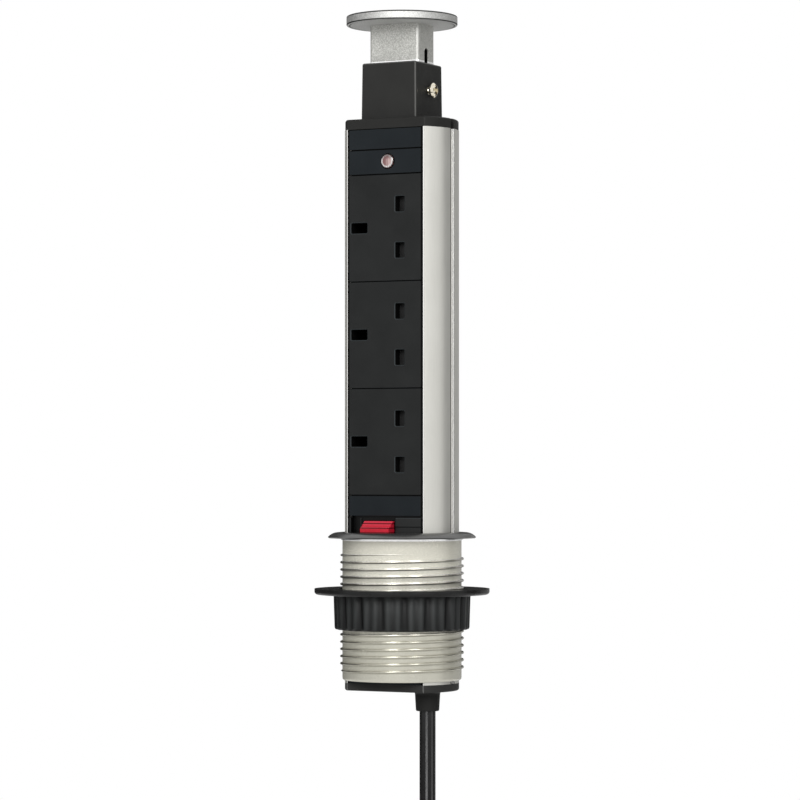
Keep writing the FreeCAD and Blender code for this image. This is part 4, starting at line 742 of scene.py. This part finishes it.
recessed = addNode(tree, "GeometryNodeMeshBoolean", {
    "Mesh 1": domed, "Mesh 2": cross, "Self Intersection": True}, operation="DIFFERENCE", solver="EXACT")
core = addNode(tree, "GeometryNodeMeshCylinder", {
    "Vertices": 32, "Radius": given["Core Radius"], "Depth": given["Shank Length"]}, fill_type="TRIANGLE_FAN")
core = addNode(tree, "GeometryNodeTransform", {"Geometry": core, "Translation": given["Core Middle"]})
winding = addNode(tree, "GeometryNodeCurveSpiral", {
    "Resolution": 28, "Rotations": given["Ridge Turns"], "Start Radius": given["Ridge Radius"],
    "End Radius": given["Ridge Radius"], "Height": given["Ridge Length"], "Reverse": True})
crest = addNode(tree, "GeometryNodeCurvePrimitiveCircle", {"Resolution": 6, "Radius": given["Crest Radius"]})
thread = addNode(tree, "GeometryNodeCurveToMesh", {"Curve": winding, "Profile Curve": crest, "Fill Caps": True})
thread = addNode(tree, "GeometryNodeTransform", {"Geometry": thread, "Translation": given["Ridge Start"]})
screwForm = addNode(tree, "GeometryNodeJoinGeometry")
for form in (recessed, core, thread):
    tree.links.new(form.outputs[0], screwForm.inputs[0])
aimed = addNode(tree, "FunctionNodeAlignRotationToVector", {"Vector": given["Direction"]}, axis="Z")
seated = addNode(tree, "GeometryNodeInstanceOnPoints", {
    "Points": given["Geometry"], "Instance": screwForm, "Rotation": aimed})
endTree(tree, seated, given["Finish"])
for plan in screwPlans:
    seats = bpy.data.meshes.new(plan["name"] + "Seats")
    seats.from_pydata([Vector(seat) * mm for seat in plan["seats"]], [], [])
    radius, height, dome = (size * mm for size in plan["head"])
    shank, length = (size * mm for size in plan["shank"])
    width, reach, depth = (size * mm for size in plan["recess"])
    along = threadShare["along"] * length
    screwMesh = grown(plan["name"], tree, {
        "Head Radius": radius, "Head Height": height, "Fall": -dome, "Core Radius": threadShare["core"] * shank,
        "Shank Length": length, "Ridge Radius": threadShare["ridge"] * shank, "Ridge Length": along,
        "Ridge Turns": along / (plan["pitch"] * mm), "Crest Radius": threadShare["crest"] * shank,
        "Head Middle": (0, 0, height / 2), "Head Top": (0, 0, height), "Core Middle": (0, 0, -length / 2),
        "Ridge Start": (0, 0, threadShare["tip"] * length), "Long Arm": (reach, width, 2 * depth),
        "Cross Arm": (width, reach, 2 * depth), "Direction": plan["way"], "Finish": finishes[plan["finish"]]}, seats)
    piece = addPiece(plan["name"], screwMesh, "tower", finishes[plan["finish"]], plan["node"])
    print(plan["name"], len(screwMesh.polygons), "faces")


# Springs: wound wire, one tree for all, each listed with the joint that presses it
springPlans = [     # start at the end that stays, way to the end that gives, then sizes in mm
    {"name": "lidSpring", "node": "lid_spring", "start": (3, 0, 191.5), "way": (0, 0, 1), "length": 54.0,
     "radius": 4.5, "wire": 0.8, "coils": 15.0, "joint": "lid_slide", "travel": 18.4},
    {"name": "latchSpring", "node": "latch_spring", "start": (-3.2, 1.4, 3.2), "way": (0, -1, 0),
     "length": 10.9, "radius": 3.0, "wire": 0.7, "coils": 6.0, "joint": "latch_press", "travel": 4.6},
]
for level, height in (("top", 149.75), ("middle", 98.25), ("low", 46.75)):
    springPlans.append({
        "name": level + "ShutterSpring", "node": "shutter_springs", "start": (2.7, -11.65, height),
        "way": (-1, 0, 0), "length": 11.5, "radius": 0.85, "wire": 0.25, "coils": 14.0,
        "joint": "shutter_" + level + "_slide", "travel": 6.5})
tree, given = startTree(
    "woundSpring", float="Wire Centre, Wire, Half Wire, Open Length, Coils, Last Coil", int="Steps",
    vector="Start, Direction", material="Finish")
ring = addNode(tree, "GeometryNodeCurveSpiral", {
    "Resolution": given["Steps"], "Rotations": given["Coils"], "Start Radius": given["Wire Centre"],
    "End Radius": given["Wire Centre"], "Height": 0.0})
done = addNode(tree, "ShaderNodeMath", [addNode(tree, "GeometryNodeSplineParameter"), given["Coils"]],
               operation="MULTIPLY")
rise = given["Half Wire"]
for first, last, climb in ((0.0, 1.0, "Wire"), (1.0, given["Last Coil"], "Open Length"),
                           (given["Last Coil"], given["Coils"], "Wire")):     # the end coils lie shut, ground flat
    coil = addNode(tree, "ShaderNodeMapRange", [done, first, last, 0.0, given[climb]])
    rise = addNode(tree, "ShaderNodeMath", [rise, coil], operation="ADD")
raised = addNode(tree, "GeometryNodeSetPosition", {
    "Geometry": ring, "Offset": addNode(tree, "ShaderNodeCombineXYZ", {"Z": rise})})
wire = addNode(tree, "GeometryNodeCurvePrimitiveCircle", {"Resolution": 8, "Radius": given["Half Wire"]})
wound = addNode(tree, "GeometryNodeCurveToMesh", {"Curve": raised, "Profile Curve": wire, "Fill Caps": True})
aimed = addNode(tree, "FunctionNodeAlignRotationToVector", {"Vector": given["Direction"]}, axis="Z")
placed = addNode(tree, "GeometryNodeTransform", {
    "Geometry": wound, "Translation": given["Start"], "Rotation": aimed})
endTree(tree, placed, given["Finish"])
for plan in springPlans:
    springMesh = grown(plan["name"], tree, {
        "Wire Centre": (plan["radius"] - plan["wire"] / 2) * mm, "Wire": plan["wire"] * mm,
        "Half Wire": plan["wire"] / 2 * mm, "Open Length": (plan["length"] - 3 * plan["wire"]) * mm,
        "Coils": plan["coils"], "Last Coil": plan["coils"] - 1, "Steps": 24, "Start": Vector(plan["start"]) * mm,
        "Direction": plan["way"], "Finish": finishes["spring_steel"]})
    spring = addPiece(plan["name"], springMesh, "tower", finishes["spring_steel"], plan["node"])
    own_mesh(spring)
    print(plan["name"], len(springMesh.polygons), "faces")


# Floor, backdrop and light
studio = {
    "floorDrop": 0.24,          # the floor clears the lowered tower
    "floorSize": 12.0,
    "whiteFrom": (0.55, 1.4),   # where the floor turns to plain white, and where it is all white
    "worldLight": 0.22,
    "softboxes": {"frontSoftbox": ((0.35, -2.05, 0.95), 34), "rightSoftbox": ((1.75, -1.35, 0.75), 20)},
    "softboxSize": (0.6, 1.0), "aim": (0, 0, 0.06), "cardDistance": 1.3, "cardSteps": 12, "feltTuft": 20.0,
}
floorMesh = bpy.data.meshes.new("floor")
half = studio["floorSize"] / 2
floorZ = cadLow.z - studio["floorDrop"]
floorMesh.from_pydata([(-half, -half, floorZ), (half, -half, floorZ), (half, half, floorZ), (-half, half, floorZ)],
                      [], [(0, 1, 2, 3)])
floor = bpy.data.objects.new("floor", floorMesh)
scene.collection.objects.link(floor)
floor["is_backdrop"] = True
floorMaterial, tree, place = newMaterial("floor_white_board")       # coated paper board, matt and even
board = addNode(tree, "ShaderNodeBsdfPrincipled", {"Base Color": srgb("#f4f4f2"), "Roughness": 0.7})
away = addNode(tree, "ShaderNodeVectorMath", [place], operation="LENGTH")
far = addNode(tree, "ShaderNodeMapRange", [away, *studio["whiteFrom"]], interpolation_type="SMOOTHSTEP")
bounced = addNode(tree, "ShaderNodeLightPath").outputs["Is Diffuse Ray"]
direct = addNode(tree, "ShaderNodeMath", [1.0, bounced], operation="SUBTRACT")
seenFar = addNode(tree, "ShaderNodeMath", [far, direct], operation="MULTIPLY")     # the white part lights nothing
white = addNode(tree, "ShaderNodeEmission", {"Strength": 1.0})
addNode(tree, "ShaderNodeOutputMaterial", [addNode(tree, "ShaderNodeMixShader", [seenFar, board, white])])
floorMesh.materials.append(floorMaterial)

world = bpy.data.worlds.new("studio")
world.use_nodes = True
scene.world = world
tree = world.node_tree
tree.nodes.clear()
rays = addNode(tree, "ShaderNodeLightPath").outputs
seen = addNode(tree, "ShaderNodeMath", [rays["Is Camera Ray"], rays["Is Glossy Ray"]], operation="MAXIMUM")
seen = addNode(tree, "ShaderNodeMath", [seen, rays["Is Transmission Ray"]], operation="MAXIMUM")
level = addNode(tree, "ShaderNodeMapRange", {"Value": seen, "To Min": studio["worldLight"]})
addNode(tree, "ShaderNodeOutputWorld", [
    addNode(tree, "ShaderNodeBackground", {"Color": (1, 1, 1, 1), "Strength": level})])
for name, (place, power) in studio["softboxes"].items():
    softbox = bpy.data.lights.new(name, "AREA")
    softbox.shape = "RECTANGLE"
    softbox.size, softbox.size_y = studio["softboxSize"]
    softbox.energy = power
    lamp = bpy.data.objects.new(name, softbox)
    scene.collection.objects.link(lamp)
    lamp.location = place
    lamp.rotation_euler = (Vector(studio["aim"]) - Vector(place)).to_track_quat("-Z", "Y").to_euler()

# Grey cards that stand round the object for its reflections alone
tall, low = (-0.4, 0.9), (-0.4, -0.185)      # the low ones stand where only the cord mirrors them
cardPlan = {              # first and last degrees round from the front, heights, two greys of the felt, glow
    "leftCard": (-164, -56, tall, "#242424", "#303030", 0.0),
    "rightCard": (118, 147, tall, "#343434", "#404040", 0.0),
    "rearCard": (147, 195, tall, "#b0b0b0", "#bababa", 0.0),
    "cordLeftCard": (-56, 0, low, "#181818", "#202020", 0.0),
    "cordFrontStrip": (0, 30, low, "#e8e8e8", "#f0f0f0", 8.0),
    "cordMiddleCard": (30, 80, low, "#181818", "#202020", 0.0),
    "cordSideStrip": (80, 110, low, "#e8e8e8", "#f0f0f0", 1.8),
    "cordRightCard": (110, 118, low, "#181818", "#202020", 0.0),
}
cordLit = bpy.data.collections.new("cordLit")     # the glowing strips light the cord alone
cordLit.objects.link(mainsCord)
for name, (first, last, heights, dark, pale, glow) in cardPlan.items():
    cardMaterial, tree, place = newMaterial(name + "_felt")
    felt = addNode(tree, "ShaderNodeTexNoise", {
        "Vector": place, "Scale": 1 / (studio["feltTuft"] * mm), "Detail": 3.0})
    dress(tree, {"Base Color": paint(tree, dark, [(felt, 0.0, 1.0, pale)]), "Roughness": 0.9,
                 "Emission Color": srgb(pale), "Emission Strength": glow})
    work = bmesh.new()
    edge = []
    for step in range(studio["cardSteps"] + 1):
        angle = math.radians(first + (last - first) * step / studio["cardSteps"])
        x, y = studio["cardDistance"] * math.sin(angle), -studio["cardDistance"] * math.cos(angle)
        edge.append([work.verts.new((x, y, z)) for z in heights])
    for one, two in zip(edge, edge[1:]):
        work.faces.new((one[0], one[1], two[1], two[0]))
    mesh = bpy.data.meshes.new(name)
    work.to_mesh(mesh)
    work.free()
    mesh.materials.append(cardMaterial)
    card = bpy.data.objects.new(name, mesh)
    scene.collection.objects.link(card)
    if glow:
        card.light_linking.receiver_collection = cordLit
    card.visible_camera = card.visible_diffuse = card.visible_shadow = card.visible_transmission = False
    card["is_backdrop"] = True
print("studio set")

low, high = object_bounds()
